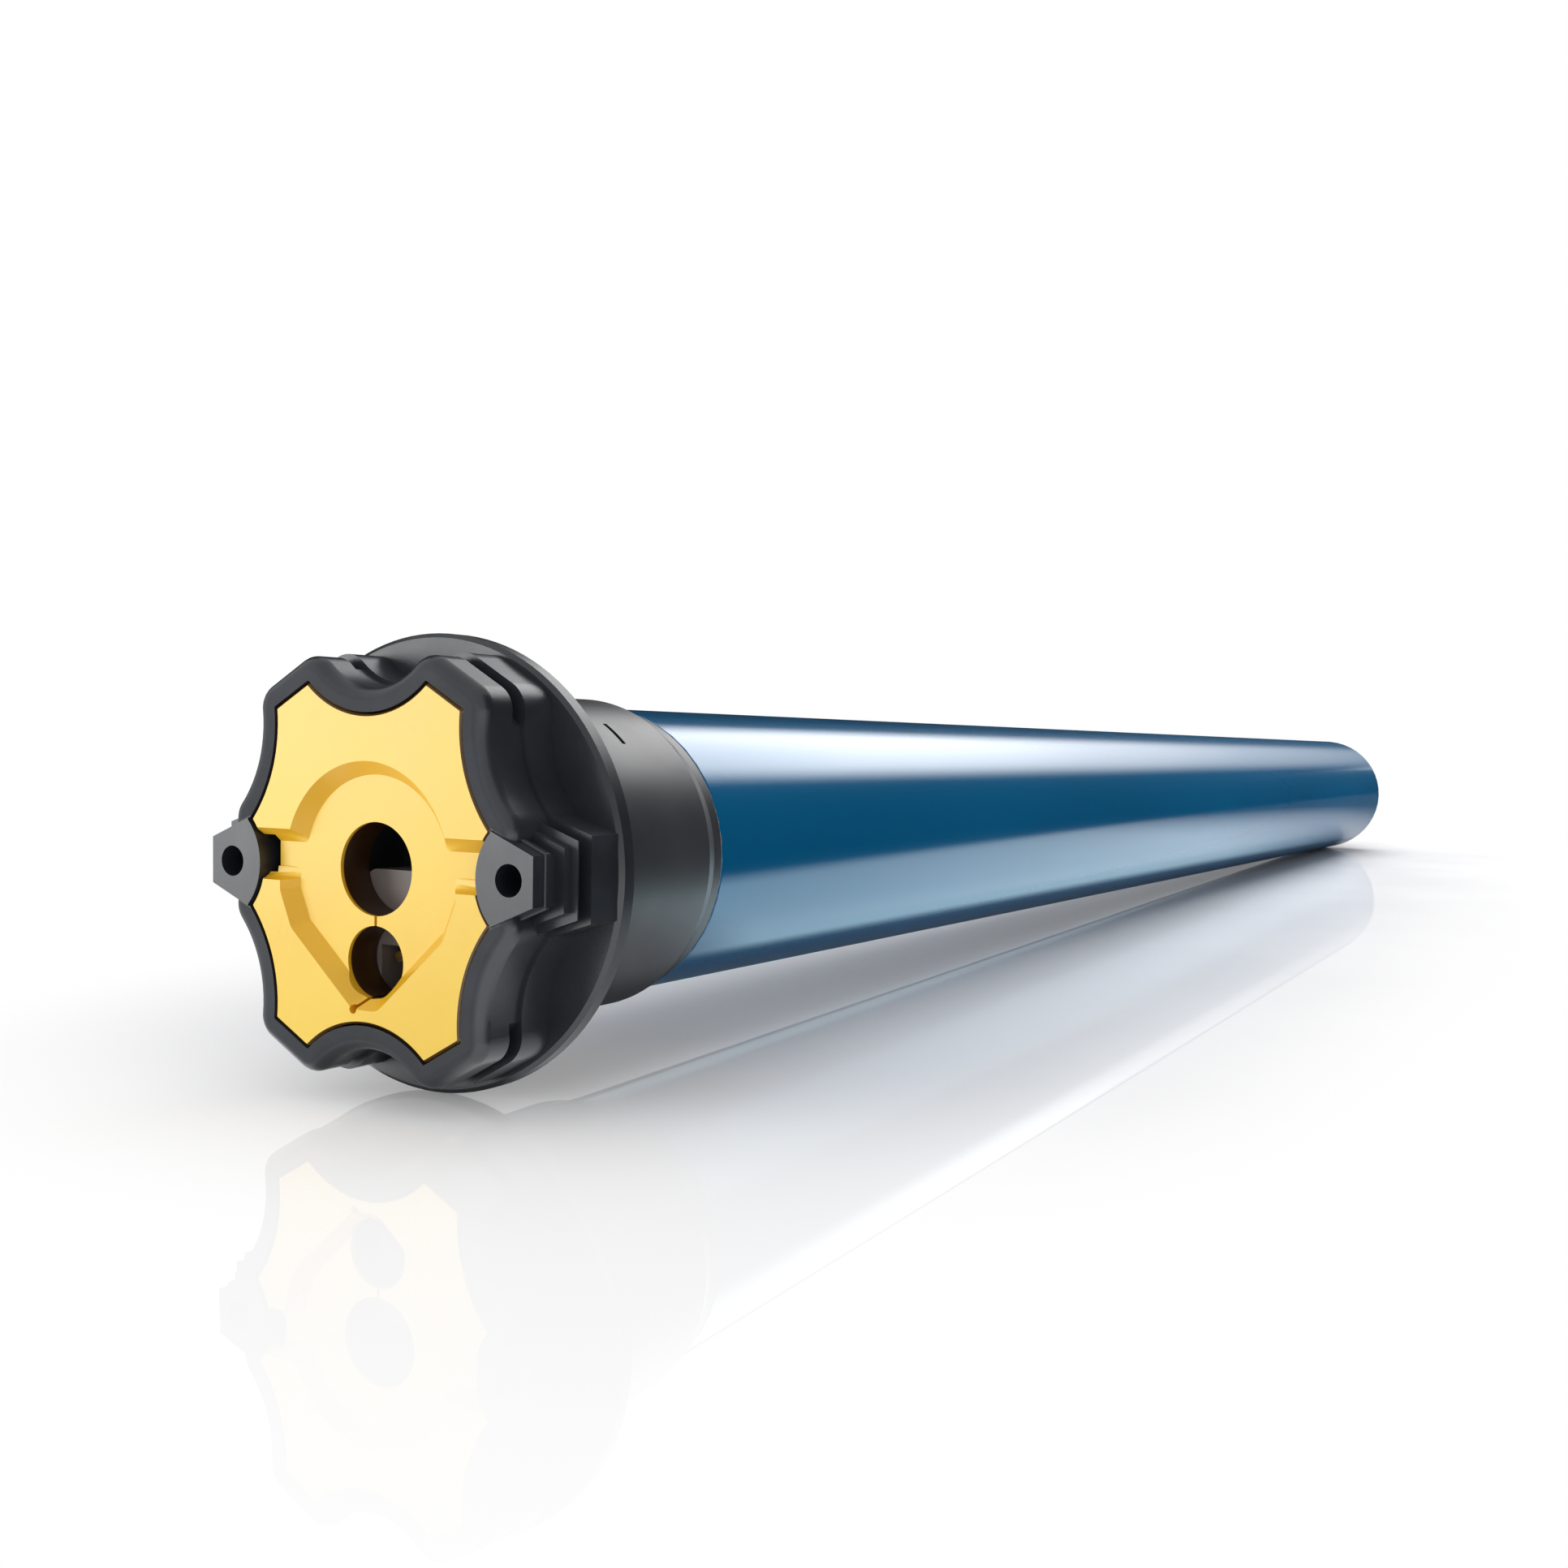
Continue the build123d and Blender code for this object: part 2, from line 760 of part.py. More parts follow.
with BuildPart() as internal_leads:
    for across, up in pin_places:
        rod(cavity_start + pin_tail, tray_start + 2 * tray_end, across, up, lead_radius)
internal_leads.part.label = "internal_leads"
export_step(internal_leads.part, "parts/internal_leads.step")


# Crown: the turning ring on the neck, and the toothed ring fixed inside it
ring_end = crown_start + crown_ring_length
taper_end = ring_end + crown_taper_length
crown_ring_radius = crown_outer_radius + crown_ring_rise
with BuildPart() as crown:
    with BuildSketch(Plane.XY):
        with BuildLine():
            Polyline(
                (crown_start, crown_bore_radius),
                (crown_start, crown_ring_radius - crown_edge),
                (crown_start + crown_edge, crown_ring_radius),
                (ring_end, crown_ring_radius),
                (taper_end, crown_outer_radius),
                (crown_end, crown_outer_radius),
                (crown_end, gear_bore_step),
                (gear_start, gear_bore_step),
                (gear_start, crown_bore_radius),
                close=True,
            )
        make_face()
    revolve(axis=Axis.X)
    slit_middle = crown_start + crown_slit_offset + crown_slit_width / 2
    with BuildSketch(Plane.XY.rotated((crown_slit_start, 0, 0))):
        with Locations((slit_middle, crown_ring_radius)):
            Rectangle(crown_slit_width, 2 * crown_slit_depth)
    revolve(axis=Axis.X, revolution_arc=crown_slit_angle, mode=Mode.SUBTRACT)
crown.part.label = "crown"
export_step(crown.part, "parts/crown.step")

with BuildPart() as crown_gear:
    ring(gear_start, gear_end, crown_gear_outer)
    toothed_bore(gear_start, gear_end, crown_gear_teeth, limit_module)
crown_gear.part.label = "crown_gear"
export_step(crown_gear.part, "parts/crown_gear.step")


# Limit pinion on its shaft, its support, and the encoder at the shaft's end
with BuildPart() as limit_pinion:
    toothed_rod(pinion_start, pinion_end, limit_pinion_teeth, limit_module, 0, pinion_offset)
    rod(shaft_start, shaft_end, 0, pinion_offset, pinion_shaft_radius)
limit_pinion.part.label = "limit_pinion"
export_step(limit_pinion.part, "parts/limit_pinion.step")

with BuildPart() as encoder_wheel:
    rod(encoder_start, encoder_start + encoder_thickness, 0, pinion_offset, encoder_radius)
    rod(
        encoder_start,
        encoder_start + encoder_thickness,
        0,
        pinion_offset,
        pinion_shaft_radius + press_gap,
        Mode.SUBTRACT,
    )
encoder_wheel.part.label = "encoder_wheel"
export_step(encoder_wheel.part, "parts/encoder_wheel.step")

with BuildPart() as encoder_sensor:
    sensor_side = journal_radius + face_gap
    block(
        tray_start - sensor_thickness,
        tray_start,
        (sensor_side, pinion_offset - sensor_height / 2),
        (sensor_side + sensor_width, pinion_offset + sensor_height / 2),
    )
encoder_sensor.part.label = "encoder_sensor"
export_step(encoder_sensor.part, "parts/encoder_sensor.step")

with BuildPart() as pinion_support:
    ring(support_start, support_end, neck_cavity_radius - slip_fit, bearing_web_hole)
    block(
        support_start,
        support_end,
        (-neck_cavity_radius / 2, -neck_cavity_radius),
        (neck_cavity_radius / 2, 0),
        Mode.SUBTRACT,
    )
    rod(support_start, support_end, 0, pinion_offset, journal_radius, Mode.SUBTRACT)
pinion_support.part.label = "pinion_support"
export_step(pinion_support.part, "parts/pinion_support.step")


# Tube, the plug that joins it to the neck, and the screws through both
with BuildPart() as tube_plug:
    ring(tube_start, plug_end, module_radius, neck_step_radius + slip_fit)
    ring(neck_end + thin_gap, plug_end, module_radius, neck_cavity_radius)
    screw_ways(tube_start + plug_screw_offset)
tube_plug.part.label = "tube_plug"
export_step(tube_plug.part, "parts/tube_plug.step")

with BuildPart() as plug_screws:
    tube_screws(tube_start + plug_screw_offset)
plug_screws.part.label = "plug_screws"
export_step(plug_screws.part, "parts/plug_screws.step")

with BuildPart() as motor_tube:
    ring(tube_start, tube_end, tube_outer_radius, tube_bore_radius)
    circles = motor_tube.edges().filter_by(GeomType.CIRCLE)
    fillet(circles.filter_by(lambda rim: rim.radius > tube_bore_radius), tube_edge)
    screw_ways(tube_start + plug_screw_offset)
    screw_ways(cap_start + cap_screw_offset)
motor_tube.part.label = "motor_tube"
export_step(motor_tube.part, "parts/motor_tube.step")


# Electronics: tray and cover, the control board and what is soldered on it
tray_inner_radius = module_radius - tray_wall
with BuildPart() as electronics_tray:
    ring(tray_start, tray_stop, module_radius, tray_inner_radius)
    block(
        tray_start,
        tray_stop,
        (-tube_outer_radius, -board_drop),
        (tube_outer_radius, tube_outer_radius),
        Mode.SUBTRACT,
    )
    for side in (-1, 1):
        edge = side * board_half_width
        inner = side * (board_half_width - ledge_width)
        block(
            tray_start,
            tray_stop,
            (min(edge, inner), -board_drop - ledge_height),
            (max(edge, inner), -board_drop),
        )
        block(
            tray_start,
            tray_stop,
            (min(edge, side * tray_inner_radius), -board_drop - ledge_height),
            (max(edge, side * tray_inner_radius), -board_drop - ledge_height / 2),
        )
    ring(tray_start, tray_start + tray_end, module_radius)
    ring(tray_stop - tray_end, tray_stop, module_radius)
    lead_slots(tray_stop - tray_end, tray_stop)
    rod(tray_start, tray_start + tray_end, 0, pinion_offset, journal_radius, Mode.SUBTRACT)
    for across, up in pin_places:
        rod(tray_start, tray_start + tray_end, across, up, lead_radius + slip_fit, Mode.SUBTRACT)
electronics_tray.part.label = "electronics_tray"
export_step(electronics_tray.part, "parts/electronics_tray.step")

with BuildPart() as electronics_cover:
    cover_start = tray_start + tray_end + slip_fit
    cover_stop = tray_stop - tray_end - slip_fit
    ring(cover_start, cover_stop, module_radius, tray_inner_radius)
    block(
        cover_start,
        cover_stop,
        (-tube_outer_radius, -tube_outer_radius),
        (tube_outer_radius, -board_drop + slip_fit),
        Mode.SUBTRACT,
    )
    lead_slots(cover_stop - board_half_width, cover_stop)
electronics_cover.part.label = "electronics_cover"
export_step(electronics_cover.part, "parts/electronics_cover.step")

board_start = tray_start + tray_end + board_end_gap
board_stop = tray_stop - tray_end - board_end_gap
board_top = -board_drop + board_thickness
supply_start = board_start + relay_offset + relay_length + supply_gap
with BuildPart() as control_board:
    block(board_start, board_stop, (-board_half_width, -board_drop), (board_half_width, board_top))
control_board.part.label = "control_board"
export_step(control_board.part, "parts/control_board.step")

with BuildPart() as relays:
    for side in (-1, 1):
        middle = side * relay_spacing / 2
        block(
            board_start + relay_offset,
            board_start + relay_offset + relay_length,
            (middle - relay_width / 2, board_top),
            (middle + relay_width / 2, board_top + relay_height),
        )
relays.part.label = "relays"
export_step(relays.part, "parts/relays.step")

with BuildPart() as supply_block:
    block(
        supply_start,
        supply_start + supply_length,
        (-supply_width / 2, board_top),
        (supply_width / 2, board_top + supply_height),
    )
supply_block.part.label = "supply_block"
export_step(supply_block.part, "parts/supply_block.step")

with BuildPart() as radio_module:
    block(
        board_stop - radio_end_gap - radio_length,
        board_stop - radio_end_gap,
        (-radio_width / 2, board_top),
        (radio_width / 2, board_top + radio_height),
    )
radio_module.part.label = "radio_module"
export_step(radio_module.part, "parts/radio_module.step")


# Run capacitor in its two pads, and the leads that pass it to the motor
with BuildPart() as capacitor:
    ring(capacitor_start, capacitor_stop, capacitor_radius)
    chamfer(capacitor.edges().filter_by(GeomType.CIRCLE), capacitor_edge)
capacitor.part.label = "capacitor"
export_step(capacitor.part, "parts/capacitor.step")

with BuildPart() as capacitor_pads:
    for pad_start in (capacitor_start + pad_inset, capacitor_stop - pad_inset - pad_length):
        ring(pad_start, pad_start + pad_length, module_radius, capacitor_radius + slip_fit)
        lead_slots(pad_start, pad_start + pad_length)
capacitor_pads.part.label = "capacitor_pads"
export_step(capacitor_pads.part, "parts/capacitor_pads.step")

lead_bottom = motor_lead_pitch_radius - lead_radius
with BuildPart() as motor_leads:
    for angle in motor_lead_angles:
        turn = math.radians(angle)
        across = motor_lead_pitch_radius * math.cos(turn)
        up = motor_lead_pitch_radius * math.sin(turn)
        rod(tray_stop - 2 * tray_end, stator_start - winding_gap, across, up, lead_radius)
motor_leads.part.label = "motor_leads"
export_step(motor_leads.part, "parts/motor_leads.step")


# Brake: housing, coil, sliding armature with its springs, and the disc on the rotor
with BuildPart() as brake_housing:
    ring(brake_start, rear_shield_start, module_radius, module_radius - brake_wall)
    ring(brake_start, coil_start, module_radius)
    lead_slots(brake_start, rear_shield_start)
brake_housing.part.label = "brake_housing"
export_step(brake_housing.part, "parts/brake_housing.step")

with BuildPart() as brake_coil:
    ring(coil_start, coil_stop, lead_bottom - coil_gap, coil_bore_radius)
    ring(spring_pocket_floor, coil_stop, spring_outer_radius + coil_gap, mode=Mode.SUBTRACT)
brake_coil.part.label = "brake_coil"
export_step(brake_coil.part, "parts/brake_coil.step")

with BuildPart() as brake_armature:
    ring(armature_start, armature_stop, armature_radius, coil_bore_radius)
brake_armature.part.label = "brake_armature"
export_step(brake_armature.part, "parts/brake_armature.step")

with BuildPart() as brake_springs:
    for number in range(spring_count):
        spring_stop = armature_start - slip_fit - number * spring_step
        lean = spring_cone if number % 2 else 0
        rise = spring_cone - lean
        with BuildSketch(Plane.XY):
            with BuildLine():
                Polyline(
                    (spring_stop - spring_sheet - lean, spring_inner_radius),
                    (spring_stop - lean, spring_inner_radius),
                    (spring_stop - rise, spring_outer_radius),
                    (spring_stop - spring_sheet - rise, spring_outer_radius),
                    close=True,
                )
            make_face()
        revolve(axis=Axis.X)
brake_springs.part.label = "brake_springs"
export_step(brake_springs.part, "parts/brake_springs.step")

with BuildPart() as brake_disc:
    ring(brake_disc_start, brake_disc_stop, brake_disc_radius, shaft_radius + press_gap)
brake_disc.part.label = "brake_disc"
export_step(brake_disc.part, "parts/brake_disc.step")


# End shields with the rotor's bushes
bush_bore = shaft_radius + running_fit
bush_outer = bush_bore + bush_wall
hub_outer = bush_outer + bush_wall
with BuildPart() as rear_shield:
    ring(rear_shield_start, rear_shield_back, module_radius)
    ring(rear_shield_back, stator_start, module_radius, module_radius - shield_rim_wall)
    ring(rear_shield_back, rear_shield_back + bush_extra, hub_outer)
    ring(rear_shield_start, rear_shield_back + bush_extra, bush_outer + slip_fit, mode=Mode.SUBTRACT)
    lead_slots(rear_shield_start, stator_start)
rear_shield.part.label = "rear_shield"
export_step(rear_shield.part, "parts/rear_shield.step")

with BuildPart() as front_shield:
    ring(front_shield_disc, gearbox_start, module_radius)
    ring(stator_stop, front_shield_disc, module_radius, module_radius - shield_rim_wall)
    ring(front_shield_disc - bush_extra, front_shield_disc, hub_outer)
    ring(front_shield_disc - bush_extra, gearbox_start, bush_outer + slip_fit, mode=Mode.SUBTRACT)
front_shield.part.label = "front_shield"
export_step(front_shield.part, "parts/front_shield.step")

with BuildPart() as rotor_bushes:
    ring(rear_shield_start, rear_shield_back + bush_extra, bush_outer, bush_bore)
    ring(front_shield_disc - bush_extra, gearbox_start, bush_outer, bush_bore)
rotor_bushes.part.label = "rotor_bushes"
export_step(rotor_bushes.part, "parts/rotor_bushes.step")


# Stator and rotor
slot_width = slot_share * 2 * math.pi * slot_inner_radius / stator_slots
slot_middle = (slot_inner_radius + slot_outer_radius) / 2
rotor_radius = stator_bore_radius - air_gap
with BuildPart() as stator_core:
    with BuildSketch(Plane.YZ.offset(stator_start)):
        Circle(module_radius)
        Circle(stator_bore_radius, mode=Mode.SUBTRACT)
        with PolarLocations(slot_middle, stator_slots):
            Rectangle(slot_outer_radius - slot_inner_radius, slot_width, mode=Mode.SUBTRACT)
        with PolarLocations(slot_inner_radius, stator_slots):
            Rectangle(2 * (slot_inner_radius - rotor_radius), slot_opening, mode=Mode.SUBTRACT)
    extrude(amount=stator_length)
stator_core.part.label = "stator_core"
export_step(stator_core.part, "parts/stator_core.step")

with BuildPart() as stator_windings:
    ring(stator_start - end_turn_length, stator_start - winding_gap, slot_outer_radius, slot_inner_radius)
    ring(stator_stop + winding_gap, stator_stop + end_turn_length, slot_outer_radius, slot_inner_radius)
    with BuildSketch(Plane.YZ.offset(stator_start - overrun)):
        with PolarLocations(slot_middle, stator_slots):
            Rectangle(
                slot_outer_radius - slot_inner_radius - 2 * winding_gap,
                slot_width - 2 * winding_gap,
            )
    extrude(amount=stator_length + 2 * overrun)
stator_windings.part.label = "stator_windings"
export_step(stator_windings.part, "parts/stator_windings.step")

rotor_start = stator_start + rotor_inset
rotor_stop = stator_stop - rotor_inset
with BuildPart() as rotor_core:
    core_start = rotor_start + cage_ring_length
    ring(core_start, rotor_stop - cage_ring_length, rotor_radius, shaft_radius + press_gap)
rotor_core.part.label = "rotor_core"
export_step(rotor_core.part, "parts/rotor_core.step")

with BuildPart() as rotor_cage:
    for cage_start in (rotor_start, rotor_stop - cage_ring_length):
        ring(cage_start, cage_start + cage_ring_length, rotor_radius, rotor_radius - cage_ring_wall)
rotor_cage.part.label = "rotor_cage"
export_step(rotor_cage.part, "parts/rotor_cage.step")

seat_start = gearbox_start + face_gap
with BuildPart() as rotor_shaft:
    ring(rotor_shaft_start, seat_start, shaft_radius)
    ring(seat_start, planet_stops[0], pinion_seat_radius)
rotor_shaft.part.label = "rotor_shaft"
export_step(rotor_shaft.part, "parts/rotor_shaft.step")

with BuildPart() as sun_pinion_1:
    toothed_rod(planet_starts[0] - sun_overhang, planet_stops[0], sun_teeth, stage_module)
    ring(
        planet_starts[0] - sun_overhang,
        planet_stops[0],
        pinion_seat_radius + press_gap,
        mode=Mode.SUBTRACT,
    )
sun_pinion_1.part.label = "sun_pinion_1"
export_step(sun_pinion_1.part, "parts/sun_pinion_1.step")


# Gearbox housing with the teeth that all the planets run in
with BuildPart() as gearbox_housing:
    ring(gearbox_start, cap_start, module_radius)
    toothed_bore(gearbox_start, cap_start, ring_teeth, stage_module)
gearbox_housing.part.label = "gearbox_housing"
export_step(gearbox_housing.part, "parts/gearbox_housing.step")

planet_places = []
for number in range(planet_count):
    turn = 2 * math.pi * number / planet_count
    planet_places.append((planet_offset * math.cos(turn), planet_offset * math.sin(turn)))
for stage in range(len(planet_faces)):
    stage_name = stage + 1
    for number, (across, up) in enumerate(planet_places):
        with BuildPart() as planet:
            toothed_rod(
                planet_starts[stage],
                planet_stops[stage],
                planet_teeth,
                stage_module,
                across,
                up,
                math.atan2(up, across),
            )
            rod(
                planet_starts[stage],
                planet_stops[stage],
                across,
                up,
                planet_pin_radius + planet_pin_fit,
                Mode.SUBTRACT,
            )
        planet_name = f"planet_{stage_name}{'abc'[number]}"
        planet.part.label = planet_name
        export_step(planet.part, f"parts/{planet_name}.step")

    pins_name = "output_pins" if stage_name == len(planet_faces) else f"carrier_{stage_name}_pins"
    with BuildPart() as carrier_pins:
        for across, up in planet_places:
            rod(planet_starts[stage] + face_gap, carrier_stops[stage], across, up, planet_pin_radius)
    carrier_pins.part.label = pins_name
    export_step(carrier_pins.part, f"parts/{pins_name}.step")

for stage in range(len(planet_faces) - 1):
    with BuildPart() as carrier:
        ring(carrier_starts[stage], carrier_stops[stage], carrier_radius)
        toothed_rod(carrier_stops[stage], planet_stops[stage + 1], sun_teeth, stage_module)
        for across, up in planet_places:
            rod(
                carrier_starts[stage],
                carrier_stops[stage],
                across,
                up,
                planet_pin_radius + press_gap,
                Mode.SUBTRACT,
            )
    carrier.part.label = f"carrier_{stage + 1}"
    export_step(carrier.part, f"parts/carrier_{stage + 1}.step")


# Output: the last carrier with its shaft, the washer, the bush and the end cap
groove_start = cap_end + thin_gap
with BuildPart() as output_carrier:
    ring(carrier_starts[-1], carrier_stops[-1], carrier_radius)
    ring(carrier_stops[-1], stub_start, output_radius)
    ring(stub_start, stub_end, stub_radius)
    chamfer(output_carrier.faces().sort_by(Axis.X)[-1].edges(), stub_edge)
    block(stub_start, stub_end, (-stub_radius, stub_flat), (stub_radius, output_radius), Mode.SUBTRACT)
    ring(
        groove_start,
        groove_start + circlip_thickness + slip_fit,
        output_radius + overrun,
        output_radius - circlip_depth,
        Mode.SUBTRACT,
    )
    ring(stub_end - wheel_screw_depth, stub_end + overrun, wheel_screw_radius, mode=Mode.SUBTRACT)
    for across, up in planet_places:
        rod(
            carrier_starts[-1],
            carrier_stops[-1],
            across,
            up,
            planet_pin_radius + press_gap,
            Mode.SUBTRACT,
        )
output_carrier.part.label = "output_carrier"
export_step(output_carrier.part, "parts/output_carrier.step")

with BuildPart() as output_circlip:
    clip_start = groove_start + slip_fit / 2
    ring(
        clip_start,
        clip_start + circlip_thickness,
        output_radius + circlip_rise,
        output_radius - circlip_depth + press_gap,
    )
    block(
        clip_start,
        clip_start + circlip_thickness,
        (-circlip_opening / 2, 0),
        (circlip_opening / 2, output_radius + circlip_rise),
        Mode.SUBTRACT,
    )
output_circlip.part.label = "output_circlip"
export_step(output_circlip.part, "parts/output_circlip.step")

with BuildPart() as thrust_washer:
    ring(washer_start, washer_start + washer_thickness, carrier_radius, output_radius + running_fit)
thrust_washer.part.label = "thrust_washer"
export_step(thrust_washer.part, "parts/thrust_washer.step")

bush_radius = output_radius + running_fit + output_bush_wall
with BuildPart() as output_bush:
    ring(cap_start, cap_end, bush_radius, output_radius + running_fit)
output_bush.part.label = "output_bush"
export_step(output_bush.part, "parts/output_bush.step")

with BuildPart() as end_cap:
    ring(cap_start, cap_end, module_radius, bush_radius + slip_fit)
    screw_ways(cap_start + cap_screw_offset)
end_cap.part.label = "end_cap"
export_step(end_cap.part, "parts/end_cap.step")

with BuildPart() as cap_screws:
    tube_screws(cap_start + cap_screw_offset)
cap_screws.part.label = "cap_screws"
export_step(cap_screws.part, "parts/cap_screws.step")

print("tube ends at", round(tube_end, 2), "shaft ends at", round(stub_end, 2))
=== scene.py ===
# %% [markdown]
# # A tubular roller blind motor
#
# The motor drives a roller blind from inside its tube. What shows is a black
# star-shaped head with a yellow face plate, a turning crown behind its flange,
# a long blue steel tube and the output shaft at the far end. The solids come
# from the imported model. This script gives every surface its finish, adds the
# small moulded detail, and sets up the studio.

# %% Load the fixed frame
import math

import bpy
from mathutils import Matrix, Vector


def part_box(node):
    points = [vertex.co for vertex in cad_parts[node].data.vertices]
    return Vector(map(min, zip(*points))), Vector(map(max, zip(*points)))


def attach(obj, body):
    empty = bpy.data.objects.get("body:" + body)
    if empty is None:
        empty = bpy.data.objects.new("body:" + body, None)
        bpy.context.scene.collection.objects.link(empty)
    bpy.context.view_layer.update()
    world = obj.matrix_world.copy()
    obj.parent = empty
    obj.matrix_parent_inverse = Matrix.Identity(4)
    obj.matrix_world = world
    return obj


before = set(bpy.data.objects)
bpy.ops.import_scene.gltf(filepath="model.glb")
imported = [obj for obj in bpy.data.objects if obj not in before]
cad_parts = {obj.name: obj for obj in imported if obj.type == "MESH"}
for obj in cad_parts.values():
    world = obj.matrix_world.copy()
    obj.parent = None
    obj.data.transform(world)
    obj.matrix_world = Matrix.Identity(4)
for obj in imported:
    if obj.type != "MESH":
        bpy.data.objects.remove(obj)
bpy.ops.object.select_all(action="DESELECT")
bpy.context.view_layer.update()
MM = 0.001

# %% [markdown]
# ## Camera
#
# The picture was taken from low down in front of the head, so the tube runs away
# from the viewer. A camera could be aimed by eye. Here its place and its three
# directions are real measurements in the motor's own frame, worked out from the
# screw holes, the flange and the ends of the tube, so the view fits everywhere.

# %% Camera
CAMERA_PLACE = Vector((-167.317, -156.550, 17.950)) * MM
CAMERA_RIGHT = Vector((0.49607084, -0.86804917, 0.02010876))
CAMERA_UP = Vector((0.04893845, 0.05107467, 0.99749507))
CAMERA_BACK = Vector((-0.86690181, -0.49384413, 0.06781763))
CAMERA_LENS, CAMERA_SENSOR = 39.198, 36.0
CAMERA_SHIFT = (0.00909, 0.04659)
CAMERA_CLIP = (0.01, 20.0)

camera_data = bpy.data.cameras.new("studio_camera")
camera_data.sensor_width = CAMERA_SENSOR
camera_data.lens = CAMERA_LENS
camera_data.shift_x, camera_data.shift_y = CAMERA_SHIFT
camera_data.clip_start, camera_data.clip_end = CAMERA_CLIP
camera = bpy.data.objects.new("studio_camera", camera_data)
bpy.context.scene.collection.objects.link(camera)
turn = Matrix((CAMERA_RIGHT, CAMERA_UP, CAMERA_BACK)).transposed().to_4x4()
camera.matrix_world = Matrix.Translation(CAMERA_PLACE) @ turn
bpy.context.scene.camera = camera
print("camera stands", round(CAMERA_PLACE.length / MM), "mm from the face")

# %% [markdown]
# ## Nodes and colours
#
# A colour is written as the hex value that a picture shows, and one function
# turns it into the linear value that the shader wants. One more function adds
# any node, fills its sockets and links it, so a finish below reads as a list of
# what it is made of. Sockets go by their names. Only nodes that mix or calculate
# use a name twice, so theirs go by their numbers. Object coordinates are metres,
# so a pattern of a real size gets one over that size as its scale.


# %% Nodes and colours
def colour(text):
    """Linear RGBA of an sRGB hex value, by the formula of the sRGB standard."""
    parts = [int(text[i : i + 2], 16) / 255 for i in (0, 2, 4)]
    linear = [c / 12.92 if c <= 0.04045 else ((c + 0.055) / 1.055) ** 2.4 for c in parts]
    return (*linear, 1.0)


def add_node(tree, kind, values=None, links=None, stops=None, **settings):
    """Add a node, set its properties, fill its sockets and link its inputs."""
    node = tree.nodes.new(kind)
    for name, value in settings.items():
        setattr(node, name, value)
    for socket, value in (values or {}).items():
        node.inputs[socket].default_value = value
    for socket, source in (links or {}).items():
        tree.links.new(getattr(source, "outputs", [source])[0], node.inputs[socket])
    for index, (place, shade) in enumerate(stops or []):
        elements = node.color_ramp.elements
        element = elements[index] if index < len(elements) else elements.new(place)
        element.position, element.color = place, colour(shade)
    return node


def start_material(name):
    """An empty material, ready for a finish."""
    material = bpy.data.materials.new(name)
    material.use_nodes = True
    material.node_tree.nodes.clear()
    return material, material.node_tree


def per(size_mm):
    """The scale that gives a pattern this size on Object coordinates."""
    return 1 / (size_mm * MM)


# The sockets of a Mix node that mixes colours.
MIX_FACTOR, MIX_FIRST, MIX_SECOND, MIX_RESULT = 0, 6, 7, 2
# Noise seldom leaves its middle, so this part of it spans the whole change.
NOISE_LOW, NOISE_HIGH = 0.3, 0.7
NOISE_RANGE = {"From Min": NOISE_LOW, "From Max": NOISE_HIGH}
WHITE = (1, 1, 1, 1)
print("half grey is", round(colour("808080")[0], 3), "in linear light")

# %% [markdown]
# ## Finishes: moulded plastics
#
# Most of the head is moulded plastic. A flat colour would look like clay, so each
# plastic gets three things that the real one has: a faint cloudiness from the
# melt, a fine moulded grain that breaks up the gloss, and a roughness that
# changes from place to place where it has been handled. The real grain is near
# 0.1 mm. It is drawn two to six times coarser, as one so fine wouldn't show.

# %% Recipe of a moulded plastic
CLOUD_LOW, CLOUD_HIGH = 0.32, 0.68
HANDLED_TO_CLOUD = 2.3
PLASTIC_IOR = 1.5


def moulded_plastic(name, base, shade, roughness, grain_mm, depth_mm, cloud_mm=9.0):
    """Injection-moulded plastic: cloudy colour, fine grain and uneven gloss."""
    material, tree = start_material(name)
    where = add_node(tree, "ShaderNodeTexCoord").outputs["Object"]
    noise = {"Scale": per(cloud_mm), "Detail": 4.0}
    cloud = add_node(tree, "ShaderNodeTexNoise", noise, {"Vector": where})
    stops = [(CLOUD_LOW, shade), (CLOUD_HIGH, base)]
    tint = add_node(tree, "ShaderNodeValToRGB", links={"Fac": cloud}, stops=stops)
    noise = {"Scale": per(HANDLED_TO_CLOUD * cloud_mm), "Detail": 5.0, "Roughness": 0.6}
    handled = add_node(tree, "ShaderNodeTexNoise", noise, {"Vector": where})
    spread = NOISE_RANGE | {"To Min": roughness - 0.05, "To Max": roughness + 0.07}
    rough = add_node(tree, "ShaderNodeMapRange", spread, {"Value": handled})
    noise = {"Scale": per(grain_mm), "Detail": 3.0, "Roughness": 0.65}
    grain = add_node(tree, "ShaderNodeTexNoise", noise, {"Vector": where})
    relief = {"Distance": depth_mm * MM}
    skin = add_node(tree, "ShaderNodeBump", relief, {"Height": grain})
    links = {"Base Color": tint, "Roughness": rough, "Normal": skin}
    shader = add_node(tree, "ShaderNodeBsdfPrincipled", {"IOR": PLASTIC_IOR}, links)
    add_node(tree, "ShaderNodeOutputMaterial", links={"Surface": shader})
    return material


# %% Moulded plastics
# Glass-filled nylon: a dull black with a cool grey sheen where it meets the light.
NYLON = {"base": "2D3138", "shade": "23262B", "roughness": 0.32}
NYLON |= {"grain_mm": 0.35, "depth_mm": 0.012}
black_nylon = moulded_plastic("glass_filled_black_nylon", **NYLON)
